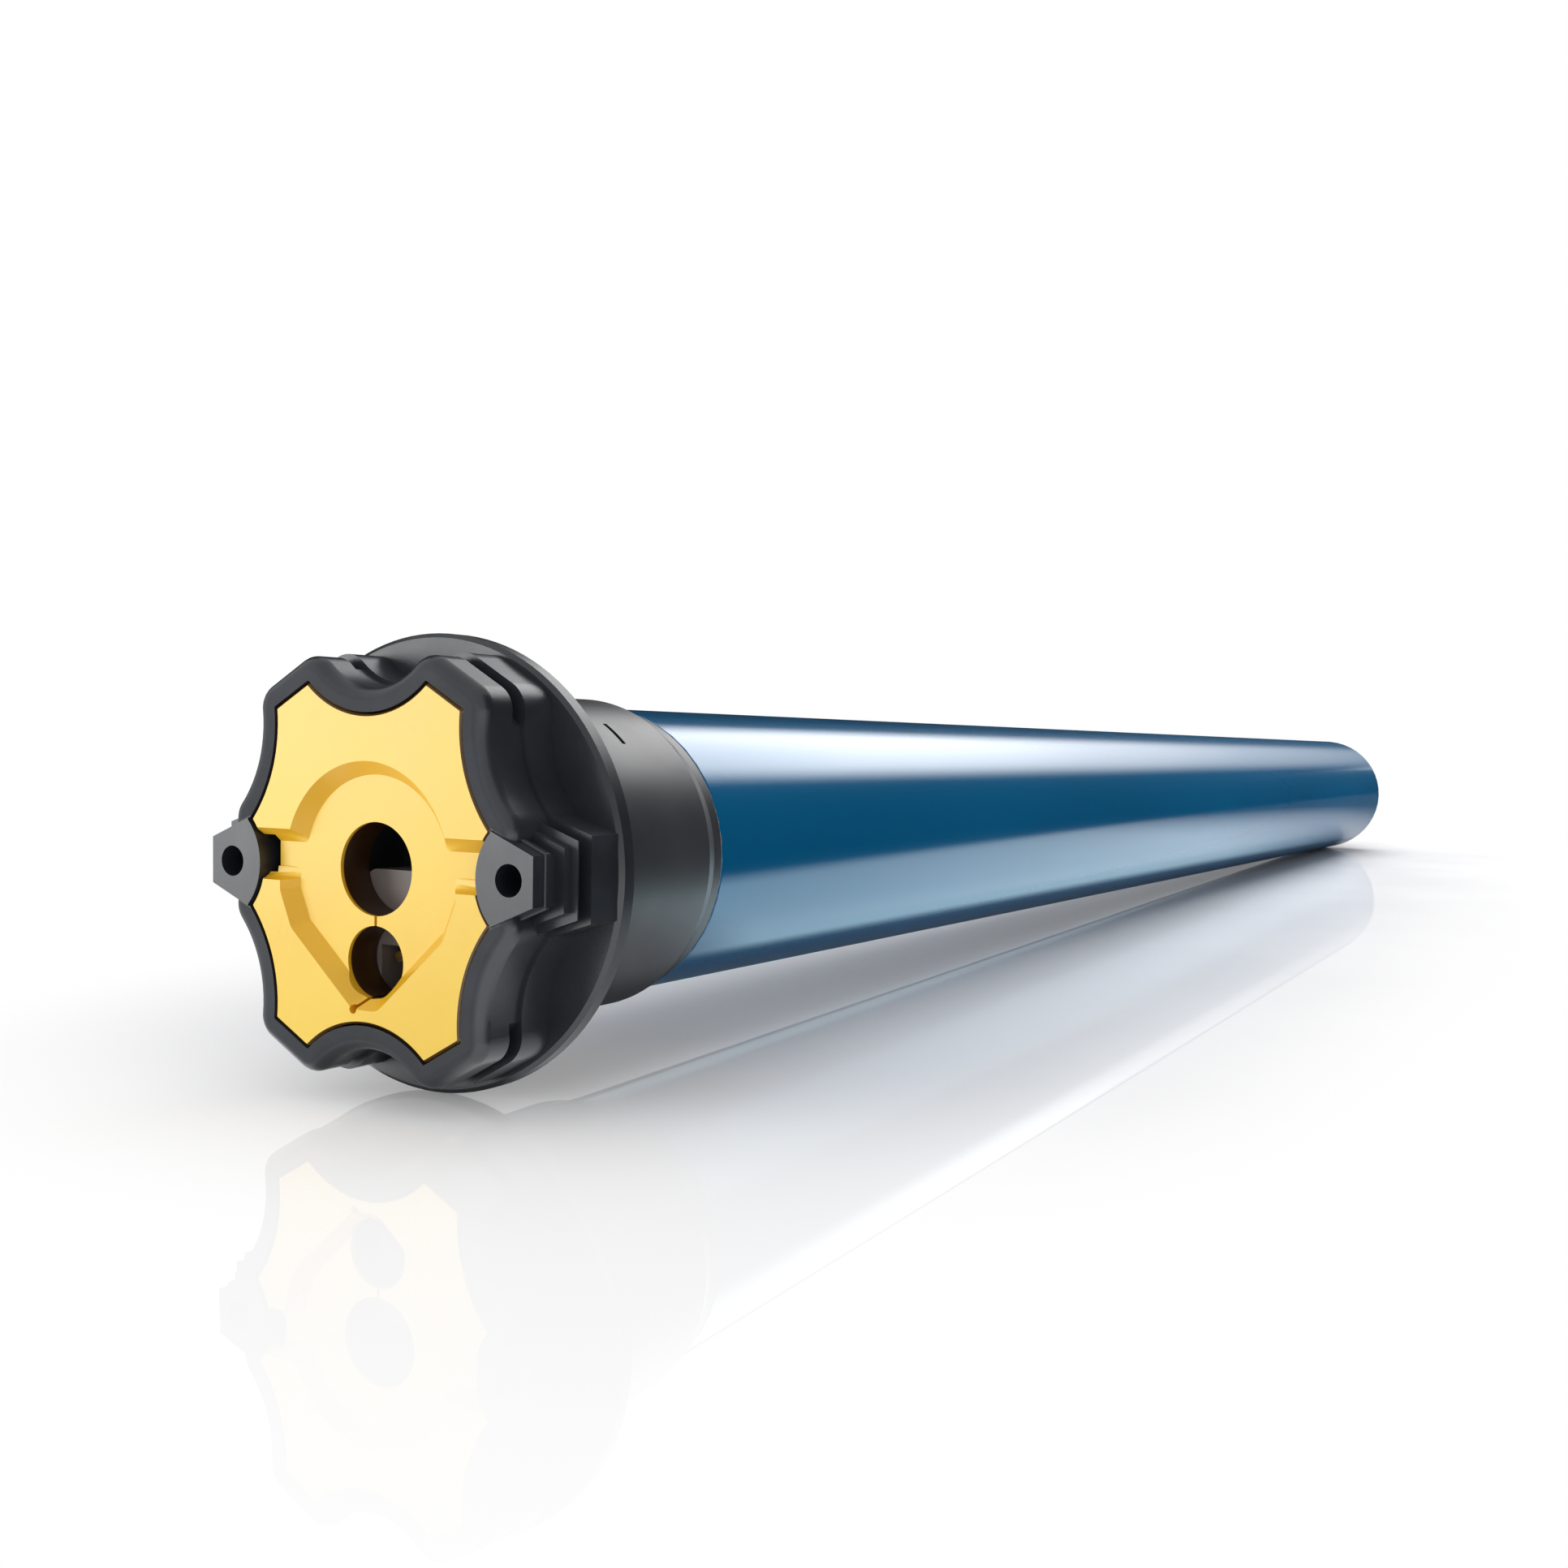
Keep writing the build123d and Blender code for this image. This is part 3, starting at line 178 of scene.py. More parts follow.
# Acetal: a greyer black with a finer grain, so the crown stands off from the head.
black_acetal = moulded_plastic(
    "black_acetal", "393C41", "2E3034", 0.34, grain_mm=0.3, depth_mm=0.008, cloud_mm=14.0
)
# Grey PBT: a warm matt grey that still shows in the depth of the two holes.
grey_pbt = moulded_plastic(
    "grey_pbt", "8F837E", "75706D", 0.5, grain_mm=0.4, depth_mm=0.02
)
# White acetal: creamy gears with a soft gloss.
white_acetal = moulded_plastic(
    "white_acetal", "ECEBE4", "DEDCD2", 0.38, grain_mm=0.3, depth_mm=0.01
)
# Moulding epoxy: the dead black of chips and potted blocks.
black_epoxy = moulded_plastic(
    "black_moulding_epoxy", "222326", "17181A", 0.45, grain_mm=0.25, depth_mm=0.02
)
# Brake lining: brown, speckled and matt, like pressed fibre.
fibre = {"grain_mm": 0.5, "depth_mm": 0.06, "cloud_mm": 2.0}
brake_lining = moulded_plastic("brake_lining_compound", "5A4A3C", "2E2722", 0.85, **fibre)
# Foam rubber: a soft black with open pores and no gloss.
pores = {"grain_mm": 0.6, "depth_mm": 0.1, "cloud_mm": 3.0}
foam_rubber = moulded_plastic("closed_cell_foam_rubber", "3A3A3C", "28282A", 0.9, **pores)
# PVC: the brown of a mains lead, with a waxy gloss.
brown_pvc = moulded_plastic(
    "brown_pvc_insulation", "6B3F24", "5A331C", 0.42, grain_mm=0.5, depth_mm=0.01
)
print("moulded:", black_nylon.name, black_acetal.name, grey_pbt.name)

# %% [markdown]
# ## Finish: head shell
#
# The shell is moulded in the same nylon as the tube plug. Its two ears are rubbed
# smooth by the bracket that they are screwed to, while the rim round the yellow
# plate keeps the coarse texture of the mould. So the ears mirror the light and
# look grey, and the rim scatters it and stays dark. The ear's outline narrows in
# a straight line, which tells the two apart by where a point lies.

# %% Where an ear ends
# The ear narrows from its root to its flat end. These are distances from the
# motor's axis and half widths, in mm.
EAR_FLAT, EAR_FLAT_HALF = 27.8, 3.2
EAR_ROOT, EAR_ROOT_HALF = 15.0, 8.6
EAR_SLOPE = (EAR_ROOT_HALF - EAR_FLAT_HALF) / (EAR_FLAT - EAR_ROOT)
# In metres: a point is on the ear while its height, plus the slope times its
# distance from the axis, stays below this.
EAR_EDGE = (EAR_FLAT_HALF + EAR_SLOPE * EAR_FLAT) * MM
EAR_EDGE_SOFT = 0.4 * MM

head_nylon = moulded_plastic("head_shell_black_nylon", **NYLON)
tree = head_nylon.node_tree
place = add_node(tree, "ShaderNodeTexCoord")
where = add_node(tree, "ShaderNodeSeparateXYZ", links={"Vector": place.outputs["Object"]})
facing = add_node(tree, "ShaderNodeSeparateXYZ", links={"Vector": place.outputs["Normal"]})
links = {0: where.outputs["Y"]}
across = add_node(tree, "ShaderNodeMath", links=links, operation="ABSOLUTE")
links = {0: where.outputs["Z"]}
up = add_node(tree, "ShaderNodeMath", links=links, operation="ABSOLUTE")
links = {0: across, 2: up}
outward = add_node(tree, "ShaderNodeMath", {1: EAR_SLOPE}, links, operation="MULTIPLY_ADD")
spread = {"From Min": EAR_EDGE, "From Max": EAR_EDGE + EAR_EDGE_SOFT}
off_ear = add_node(tree, "ShaderNodeMapRange", spread, {"Value": outward})
print("ear edge", round(EAR_EDGE / MM, 2), "mm")

# %% Head shell with a coarse rim
# X of the normal, which is -1 on a face turned straight to the front, then the
# depth in metres to which the rim reaches, and what it adds to the roughness.
FLAT_FRONT, TURNED_OFF = -0.98, -0.85
RIM_DEPTH, RIM_FADED = 2 * MM, 3 * MM
COARSER = 0.42

spread = {"From Min": FLAT_FRONT, "From Max": TURNED_OFF, "To Min": COARSER, "To Max": 0.0}
front = add_node(tree, "ShaderNodeMapRange", spread, {"Value": facing.outputs["X"]})
spread = {"From Min": RIM_DEPTH, "From Max": RIM_FADED, "To Min": 1.0, "To Max": 0.0}
rim = add_node(tree, "ShaderNodeMapRange", spread, {"Value": where.outputs["X"]})
links = {0: off_ear, 1: front}
coarse = add_node(tree, "ShaderNodeMath", links=links, operation="MULTIPLY")
shader = tree.nodes["Principled BSDF"]
smooth = shader.inputs["Roughness"].links[0].from_socket
links = {0: coarse, 1: rim, 2: smooth}
rough = add_node(tree, "ShaderNodeMath", links=links, operation="MULTIPLY_ADD")
tree.links.new(rough.outputs[0], shader.inputs["Roughness"])
print("rim rougher by", COARSER, "than the ears")

# %% [markdown]
# ## Finish: yellow face plate
#
# The plate is yellow ABS, moulded with a satin skin. Three marks are painted on it.
# Its outer corner is bevelled, and the bevel is painted dark brown where the
# surface turns half way from the front: painted shade in the seam round it. The
# slopes of its recess are painted a darker yellow, as painted shade. And the plate
# is painted dark below its thin yellow floor: a black lining behind the floor, and
# painted shade in its holes and on its walls in the seam. All follow the piece
# itself and not the camera. The grain is drawn three times coarser than the real
# 0.1 mm, which wouldn't show.

# %% Yellow ABS
# The dark lining and the painted shade start at this depth, from a little before to a little
# after it.
LINING_SHADE_X, LINING_SHADE_BEFORE, LINING_SHADE_AFTER = 2.9 * MM, 0.05 * MM, 0.15 * MM
# The bevel ends at this depth, and this is the X of its normal, give or take.
BEVEL_X, BEVEL_NORMAL, BEVEL_MARGIN = 0.62 * MM, -math.sqrt(0.5), 0.01
# X of the normal where the painted shade on the slopes sets in and is full, and its strength.
SLOPE_FROM, SLOPE_FULL, SLOPE_SHADE = -0.9, -0.6, 0.75
YELLOW_CLOUD_MM, YELLOW_GRAIN_MM, YELLOW_DEPTH = 16.0, 0.3, 0.01 * MM

yellow_abs, tree = start_material("satin_yellow_abs")
place = add_node(tree, "ShaderNodeTexCoord")
where = place.outputs["Object"]
noise = {"Scale": per(YELLOW_CLOUD_MM), "Detail": 3.0}
cloud = add_node(tree, "ShaderNodeTexNoise", noise, {"Vector": where})
stops = [(NOISE_LOW, "F7CB37"), (NOISE_HIGH, "FBD445")]
yellow = add_node(tree, "ShaderNodeValToRGB", links={"Fac": cloud}, stops=stops)
depth = add_node(tree, "ShaderNodeSeparateXYZ", links={"Vector": where})
spread = {"From Min": LINING_SHADE_X - LINING_SHADE_BEFORE, "From Max": LINING_SHADE_X + LINING_SHADE_AFTER}
deep = add_node(tree, "ShaderNodeMapRange", spread, {"Value": depth.outputs["X"]})
facing = add_node(tree, "ShaderNodeSeparateXYZ", links={"Vector": place.outputs["Normal"]})
print("yellow clouds", YELLOW_CLOUD_MM, "mm across")

# %% [markdown]
# ## Painted shade on the plate's slopes, bevel and holes
#
# Each of the three is the same colour change in another place. They could be
# separate materials on picked faces, but then a new shape of the plate would
# lose them. So each is mixed in where the direction or the depth of a point
# says, and the next one is laid over it.

# %% Painted shade on the plate
# Painted shade: the slopes of the recess turn a darker yellow.
spread = {"From Min": SLOPE_FROM, "From Max": SLOPE_FULL, "To Max": SLOPE_SHADE}
slope_shade = add_node(tree, "ShaderNodeMapRange", spread, {"Value": facing.outputs["X"]})
second, links = {MIX_SECOND: colour("EEB11A")}, {MIX_FACTOR: slope_shade, MIX_FIRST: yellow}
slope_shaded = add_node(tree, "ShaderNodeMix", second, links, data_type="RGBA")
match, links = {1: BEVEL_NORMAL, 2: BEVEL_MARGIN}, {0: facing.outputs["X"]}
turned = add_node(tree, "ShaderNodeMath", match, links, operation="COMPARE")
limit, links = {1: BEVEL_X}, {0: depth.outputs["X"]}
outer = add_node(tree, "ShaderNodeMath", limit, links, operation="LESS_THAN")
links = {0: turned, 1: outer}
bevel = add_node(tree, "ShaderNodeMath", links=links, operation="MULTIPLY")
# Painted shade in the seam: the bevel at the outer corner turns dark brown.
second = {MIX_SECOND: colour("5A3C12")}
links = {MIX_FACTOR: bevel, MIX_FIRST: slope_shaded.outputs[MIX_RESULT]}
seam_shaded = add_node(tree, "ShaderNodeMix", second, links, data_type="RGBA")
# Dark below the floor: a black lining, and painted shade in the holes and on the seam walls.
second = {MIX_SECOND: colour("38220F")}
links = {MIX_FACTOR: deep, MIX_FIRST: seam_shaded.outputs[MIX_RESULT]}
lined_and_shaded = add_node(tree, "ShaderNodeMix", second, links, data_type="RGBA")
noise = {"Scale": per(YELLOW_GRAIN_MM), "Detail": 3.0, "Roughness": 0.65}
grain = add_node(tree, "ShaderNodeTexNoise", noise, {"Vector": where})
skin = add_node(tree, "ShaderNodeBump", {"Distance": YELLOW_DEPTH}, {"Height": grain})
spread = NOISE_RANGE | {"To Min": 0.27, "To Max": 0.33}
rough = add_node(tree, "ShaderNodeMapRange", spread, {"Value": cloud})
links = {"Base Color": lined_and_shaded.outputs[MIX_RESULT], "Roughness": rough, "Normal": skin}
shader = add_node(tree, "ShaderNodeBsdfPrincipled", {"IOR": PLASTIC_IOR}, links)
add_node(tree, "ShaderNodeOutputMaterial", links={"Surface": shader})
print("plate lined below", round(LINING_SHADE_X / MM, 1), "mm")

# %% [markdown]
# ## Finish: powder-coated tube
#
# The tube is steel with a blue mica powder coat. The mica makes the blue itself
# shine a little, so what it mirrors comes back blue, and the clear skin over it
# mirrors white. Powder melts into a skin that is never quite flat, which the eye
# reads as a faint orange peel. Its bumps are about 1.6 mm across, as real ones
# are. The blue drifts a little along the tube, as the thickness of the coat does.

# %% Powder-coated steel
PAINT_CLOUD_MM, ALONG_TUBE = 30.0, (0.25, 1, 1)
PEEL_MM, PEEL_DEPTH = 1.6, 0.005 * MM

tube_low, tube_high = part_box("motor_tube")
blue_paint, tree = start_material("blue_mica_powder_coat")
where = add_node(tree, "ShaderNodeTexCoord").outputs["Object"]
stretch = add_node(tree, "ShaderNodeMapping", {"Scale": ALONG_TUBE}, {"Vector": where})
noise = {"Scale": per(PAINT_CLOUD_MM)}
cloud = add_node(tree, "ShaderNodeTexNoise", noise, {"Vector": stretch})
stops = [(NOISE_LOW, "005A87"), (NOISE_HIGH, "006391")]
paint = add_node(tree, "ShaderNodeValToRGB", links={"Fac": cloud}, stops=stops)
noise = {"Scale": per(PEEL_MM), "Detail": 1.0}
peel = add_node(tree, "ShaderNodeTexNoise", noise, {"Vector": where})
skin = add_node(tree, "ShaderNodeBump", {"Distance": PEEL_DEPTH}, {"Height": peel})
mica = {"Metallic": 0.13, "Roughness": 0.3, "Specular IOR Level": 0.0}
clear = {"Coat Weight": 1.0, "Coat IOR": 1.5, "Coat Roughness": 0.12}
links = {"Base Color": paint, "Coat Normal": skin}
coated = add_node(tree, "ShaderNodeBsdfPrincipled", mica | clear, links)
print("tube painted from", round(tube_low.x / MM, 1), "to", round(tube_high.x / MM, 1), "mm")

# %% [markdown]
# ## Bare steel at the tube's ends
#
# The tube is cut to length after painting, so bare steel shows on the last half
# millimetre at either end. A second material on the end faces would stop in a
# sharp line. Here the distance from the tube's middle is multiplied by a noise,
# so that the paint ends in a ragged edge as a saw leaves it.

# %% Cut ends of the tube
CUT_EDGE = 0.5 * MM
RAGGED_MM = 1.2
PAINT_HOLDS, PAINT_GONE = 0.4, 0.5

along = add_node(tree, "ShaderNodeSeparateXYZ", links={"Vector": where}).outputs["X"]
middle = (tube_low.x + tube_high.x) / 2
reach = (tube_high.x - tube_low.x) / 2
from_middle = add_node(tree, "ShaderNodeMath", {1: middle}, {0: along}, operation="SUBTRACT")
distance = add_node(tree, "ShaderNodeMath", links={0: from_middle}, operation="ABSOLUTE")
spread = {"From Min": reach - CUT_EDGE, "From Max": reach}
end = add_node(tree, "ShaderNodeMapRange", spread, {"Value": distance})
ragged = add_node(tree, "ShaderNodeTexNoise", {"Scale": per(RAGGED_MM)}, {"Vector": where})
worn = add_node(tree, "ShaderNodeMath", links={0: end, 1: ragged}, operation="MULTIPLY")
spread = {"From Min": PAINT_HOLDS, "From Max": PAINT_GONE}
bare = add_node(tree, "ShaderNodeMapRange", spread, {"Value": worn})
steel = {"Base Color": colour("6E7176"), "Metallic": 1.0, "Roughness": 0.42}
cut = add_node(tree, "ShaderNodeBsdfPrincipled", steel)
tube_mix = add_node(tree, "ShaderNodeMixShader", links={0: bare, 1: coated, 2: cut})
add_node(tree, "ShaderNodeOutputMaterial", links={"Surface": tube_mix})
print("bare steel on the last", CUT_EDGE / MM, "mm")

# %% [markdown]
# ## Finishes: turned metals
#
# A part turned on a lathe carries fine rings round its axis. They could be drawn
# with a wave pattern, but real ones are uneven. So the place on the axis and the
# distance from it are put together as a vector, and noise on that vector is the
# same all the way round: uneven rings, as a tool leaves them. Real rings are
# near 0.1 mm apart. They are drawn two to five times coarser, so that they show.

# %% Recipe of a turned metal
PATCH_MM = 7.0


def turned_metal(name, base, shade, roughness, pitch_mm=0.35, depth_mm=0.006):
    """Metal turned on a lathe about the motor's axis."""
    material, tree = start_material(name)
    where = add_node(tree, "ShaderNodeTexCoord").outputs["Object"]
    split = add_node(tree, "ShaderNodeSeparateXYZ", links={"Vector": where})
    links = {"Y": split.outputs["Y"], "Z": split.outputs["Z"]}
    across = add_node(tree, "ShaderNodeCombineXYZ", links=links)
    reach = add_node(tree, "ShaderNodeVectorMath", links={0: across}, operation="LENGTH")
    links = {"X": split.outputs["X"], "Y": reach.outputs["Value"]}
    rings = add_node(tree, "ShaderNodeCombineXYZ", links=links)
    noise = {"Scale": per(pitch_mm), "Detail": 2.0, "Roughness": 0.7}
    lines = add_node(tree, "ShaderNodeTexNoise", noise, {"Vector": rings})
    noise = {"Scale": per(PATCH_MM), "Detail": 4.0}
    patches = add_node(tree, "ShaderNodeTexNoise", noise, {"Vector": where})
    stops = [(NOISE_LOW, shade), (NOISE_HIGH, base)]
    tint = add_node(tree, "ShaderNodeValToRGB", links={"Fac": patches}, stops=stops)
    spread = NOISE_RANGE | {"To Min": roughness - 0.07, "To Max": roughness + 0.1}
    rough = add_node(tree, "ShaderNodeMapRange", spread, {"Value": lines})
    relief = {"Distance": depth_mm * MM}
    skin = add_node(tree, "ShaderNodeBump", relief, {"Height": lines})
    links = {"Base Color": tint, "Roughness": rough, "Normal": skin}
    shader = add_node(tree, "ShaderNodeBsdfPrincipled", {"Metallic": 1.0}, links)
    add_node(tree, "ShaderNodeOutputMaterial", links={"Surface": shader})
    return material


# %% Turned metals
# Turned steel: bright, with fine rings that stretch each highlight.
turned_steel = turned_metal("turned_steel", "B9BBBE", "A2A4A8", 0.28)
# Blued spring steel: dark, cool and smooth.
spring_steel = turned_metal("blued_spring_steel", "4A4C52", "3A3C44", 0.3, pitch_mm=0.2)
# Drawn aluminium: the palest of the metals, with soft wide rings.
drawn_can = turned_metal("drawn_aluminium_can", "CDD0D3", "BBBEC2", 0.3, pitch_mm=0.5)
# Brass: a warm yellow, and the glossiest of them.
brass = turned_metal("turned_brass", "D2AE62", "BC9650", 0.25, pitch_mm=0.2)
print("turned:", turned_steel.name, brass.name)

# %% [markdown]
# ## Finishes: cast, pressed and plated metals
#
# A casting keeps the sandy skin of its die, a sintered part the grain of its
# powder, and a plated screw a milky shimmer. All three are one recipe: a coloured
# metal with a noise that gives relief and uneven gloss. The real grains are 0.1
# to 0.3 mm. They are drawn two to four times coarser, so that they show.

# %% Recipe of a cast metal
FLOW_MM = 9.0


def cast_metal(name, base, shade, roughness, skin_mm=0.8, depth_mm=0.05):
    """Metal as it comes from the die, the press or the plating bath."""
    material, tree = start_material(name)
    where = add_node(tree, "ShaderNodeTexCoord").outputs["Object"]
    noise = {"Scale": per(skin_mm), "Detail": 5.0, "Roughness": 0.6}
    skin = add_node(tree, "ShaderNodeTexNoise", noise, {"Vector": where})
    noise = {"Scale": per(FLOW_MM), "Detail": 3.0}
    flow = add_node(tree, "ShaderNodeTexNoise", noise, {"Vector": where})
    stops = [(NOISE_LOW, shade), (NOISE_HIGH, base)]
    tint = add_node(tree, "ShaderNodeValToRGB", links={"Fac": flow}, stops=stops)
    spread = NOISE_RANGE | {"To Min": roughness - 0.08, "To Max": roughness + 0.1}
    rough = add_node(tree, "ShaderNodeMapRange", spread, {"Value": skin})
    bumps = {"Distance": depth_mm * MM}
    relief = add_node(tree, "ShaderNodeBump", bumps, {"Height": skin})
    links = {"Base Color": tint, "Roughness": rough, "Normal": relief}
    shader = add_node(tree, "ShaderNodeBsdfPrincipled", {"Metallic": 1.0}, links)
    add_node(tree, "ShaderNodeOutputMaterial", links={"Surface": shader})
    return material


# %% Cast, pressed and plated metals
# Die-cast aluminium: a plain grey with a sandy skin.
die_cast = cast_metal("die_cast_aluminium", "B4B6B8", "9A9CA0", 0.42)
# Sintered steel: darker and dry, with the fine grain of pressed powder.
sintered_steel = cast_metal(
    "sintered_steel", "8E8F92", "77787C", 0.42, skin_mm=0.5, depth_mm=0.02
)
# Zinc plate: bluish white with a milky shimmer.
zinc_plate = cast_metal(
    "zinc_plated_steel", "C6CACF", "AEB4BC", 0.3, skin_mm=0.6, depth_mm=0.01
)
# Sintered bronze: brown gold and nearly matt.
bronze = cast_metal("sintered_bronze", "B4875A", "93683F", 0.45, skin_mm=0.4, depth_mm=0.03)
# Bonded ferrite: near black with a faint glint of metal.
ferrite = cast_metal("bonded_ferrite", "3B3B3F", "2B2B2E", 0.5, skin_mm=0.4, depth_mm=0.02)
print("cast:", die_cast.name, zinc_plate.name)

# %% [markdown]
# ## Finishes: stacked sheets and wound wire
#
# The stator is a stack of half-millimetre sheets and the windings are enamelled
# wire laid side by side. Each would be thousands of small solids, so the stripes
# are drawn: a band pattern along the axis for the sheets, and a slanting one for
# the wire, both with relief so that they catch the light. Real stripes would be
# too fine to show. A wave pattern counts its bands in radians, so a stripe here
# comes out about six times as wide as the sheet or the wire that it stands for.
# The wave's own scale runs through 20 radians in one unit.

# %% Recipe of a striped metal
RADIANS_PER_UNIT = 20
GAP_STOP, CREST_STOP = 0.2, 0.6
SPOT_MM, STRIPE_DEPTH = 3.0, 0.05 * MM


def striped_metal(name, base, shade, pitch_mm, direction):
    """Stacked sheets or close-wound wire, seen as fine stripes."""
    material, tree = start_material(name)
    where = add_node(tree, "ShaderNodeTexCoord").outputs["Object"]
    stripe = {"Scale": per(RADIANS_PER_UNIT * pitch_mm), "Distortion": 0.4, "Detail": 1.0}
    bands = add_node(
        tree, "ShaderNodeTexWave", stripe, {"Vector": where}, bands_direction=direction
    ).outputs["Fac"]
    stops = [(GAP_STOP, shade), (CREST_STOP, base)]
    tint = add_node(tree, "ShaderNodeValToRGB", links={"Fac": bands}, stops=stops)
    noise = {"Scale": per(SPOT_MM), "Detail": 4.0}
    spots = add_node(tree, "ShaderNodeTexNoise", noise, {"Vector": where})
    spread = NOISE_RANGE | {"To Min": 0.3, "To Max": 0.46}
    rough = add_node(tree, "ShaderNodeMapRange", spread, {"Value": spots})
    relief = add_node(tree, "ShaderNodeBump", {"Distance": STRIPE_DEPTH}, {"Height": bands})
    links = {"Base Color": tint, "Roughness": rough, "Normal": relief}
    shader = add_node(tree, "ShaderNodeBsdfPrincipled", {"Metallic": 1.0}, links)
    add_node(tree, "ShaderNodeOutputMaterial", links={"Surface": shader})
    return material


# %% Stacked sheets and wound wire
# Electrical steel: grey sheets with a dark line between each two.
sheet_stack = striped_metal("laminated_electrical_steel", "84868B", "4E5055", 0.5, "X")
# Enamelled copper: a red brown with dark gaps between the turns.
copper_wire = striped_metal("enamelled_copper_wire", "B4622F", "6E3418", 0.6, "DIAGONAL")
print("striped:", sheet_stack.name, copper_wire.name)

# %% [markdown]
# ## Finish: circuit board
#
# A bare green slab would say nothing. Solder mask is a thin glossy film over
# copper tracks, so the tracks show as a lighter green. A brick pattern with long
# bricks gives straight tracks that run and turn like routed copper. They are
# drawn 1.4 mm apart, coarser than most real ones, so that they show.

# %% Circuit board
BOARD_TILE_MM, TRACK_DEPTH = 12.0, 0.03 * MM

circuit_board, tree = start_material("solder_mask_on_glass_fibre")
where = add_node(tree, "ShaderNodeTexCoord").outputs["Object"]
bricks = {"Scale": per(BOARD_TILE_MM), "Mortar Size": 0.03}
bricks |= {"Brick Width": 0.9, "Row Height": 0.12}
bricks |= {"Color1": colour("0E5A34"), "Color2": colour("0B4A2C"), "Mortar": colour("2F8757")}
tracks = add_node(tree, "ShaderNodeTexBrick", bricks, {"Vector": where})
links = {"Height": tracks.outputs["Fac"]}
raised = add_node(tree, "ShaderNodeBump", {"Distance": TRACK_DEPTH}, links)
gloss = {"Roughness": 0.3, "Coat Weight": 0.5, "Coat Roughness": 0.1}
links = {"Base Color": tracks, "Normal": raised}
shader = add_node(tree, "ShaderNodeBsdfPrincipled", gloss, links)
add_node(tree, "ShaderNodeOutputMaterial", links={"Surface": shader})
print("board tracks", round(BOARD_TILE_MM * bricks["Row Height"], 2), "mm apart")

# %% [markdown]
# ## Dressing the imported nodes
#
# Each node of the model keeps its own shape and gets the finish of what it is
# made of. The names in this table are the model's own, so a wrong one stops the
# script at once.

# %% Finish of each node
planets_1 = ["planet_1a", "planet_1b", "planet_1c"]
planets_2 = ["planet_2a", "planet_2b", "planet_2c"]
planets_3 = ["planet_3a", "planet_3b", "planet_3c"]
carriers = ["carrier_1", "carrier_1_pins", "carrier_2", "carrier_2_pins"]
pressed = ["brake_armature", "sun_pinion_1", "gearbox_housing"]
castings = ["brake_housing", "rear_shield", "front_shield", "rotor_cage", "end_cap"]
potted = ["encoder_sensor", "relays", "supply_block", "radio_module", "brake_coil"]
finishes = {
    head_nylon: ["head_shell"],
    black_nylon: ["tube_plug"],
    yellow_abs: ["face_plate"],
    grey_pbt: ["cable_socket", "electronics_tray", "electronics_cover"],
    black_acetal: ["crown"],
    white_acetal: ["crown_gear", "limit_pinion", "pinion_support", *planets_1],
    black_epoxy: potted,
    ferrite: ["encoder_wheel"],
    brass: ["contact_pins"],
    brown_pvc: ["internal_leads", "motor_leads"],
    blue_paint: ["motor_tube"],
    zinc_plate: ["plug_screws", "cap_screws"],
    circuit_board: ["control_board"],
    drawn_can: ["capacitor"],
    foam_rubber: ["capacitor_pads"],
    die_cast: castings,
    sintered_steel: [*pressed, *planets_2, *planets_3],
    turned_steel: ["rotor_shaft", "output_carrier", "output_pins", *carriers],
    spring_steel: ["brake_springs", "output_circlip"],
    brake_lining: ["brake_disc"],
    bronze: ["rotor_bushes", "thrust_washer", "output_bush"],
    sheet_stack: ["stator_core", "rotor_core"],
    copper_wire: ["stator_windings"],
}
dressed = 0
for material, names in finishes.items():
    for name in names:
        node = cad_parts[name]
        node.data.materials.clear()
        node.data.materials.append(material)
        dressed += 1
assert dressed == len(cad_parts), "a node has no finish"
print("dressed", dressed, "nodes")

# %% [markdown]
# ## Ribs on the ears
#
# A rib runs round each screw ear a little behind its front face. It stiffens the
# ear without more plastic all over, which would sink in as it cools. It could be
# cut from a block, but it is a bar bent to the ear's outline. So a flat strip is
# extruded along the outline, given a thickness, and its edges are rounded as a
# mould leaves them.

# %% Bending a bar to an outline
RIB_ROUNDING, ROUNDING_STEPS = 0.18 * MM, 2
SAME_PLACE = 0.01 * MM


def ear_rib(name, corners, start, width, rise, sunk):
    """A bar along the ear's outline, through corners given as (y, z) in mm."""
    (first_y, first_z), rest = corners[0], corners[1:]
    bpy.ops.mesh.primitive_plane_add(size=2 * MM, location=(0, first_y * MM, first_z * MM))
    rib = bpy.context.object
    rib.name = name
    # The plane's corners are drawn together in pairs, the rib's width apart. Once
    # each pair is merged, one edge is left, which is the end of the strip.
    for index, vertex in enumerate(rib.data.vertices):
        vertex.co = ((start + width * (index % 2)) * MM, 0, 0)
    bpy.ops.object.mode_set(mode="EDIT")
    bpy.ops.mesh.remove_doubles(threshold=SAME_PLACE)
    bpy.ops.mesh.select_all(action="SELECT")
    at_y, at_z = first_y, first_z
    for next_y, next_z in rest:
        step = (0, (next_y - at_y) * MM, (next_z - at_z) * MM)
        bpy.ops.mesh.extrude_region_move(TRANSFORM_OT_translate={"value": step})
        at_y, at_z = next_y, next_z
    bpy.ops.mesh.select_all(action="SELECT")
    bpy.ops.mesh.normals_make_consistent(inside=False)
    bpy.ops.object.mode_set(mode="OBJECT")
    bpy.ops.object.transform_apply(location=True, rotation=True, scale=True)
    wall = rib.modifiers.new("wall", "SOLIDIFY")
    wall.thickness, wall.offset, wall.use_even_offset = (rise + sunk) * MM, 0, True
    edge = rib.modifiers.new("edge", "BEVEL")
    edge.width, edge.segments = RIB_ROUNDING, ROUNDING_STEPS
    for modifier in ("wall", "edge"):
        bpy.ops.object.modifier_apply(modifier=modifier)
    return rib


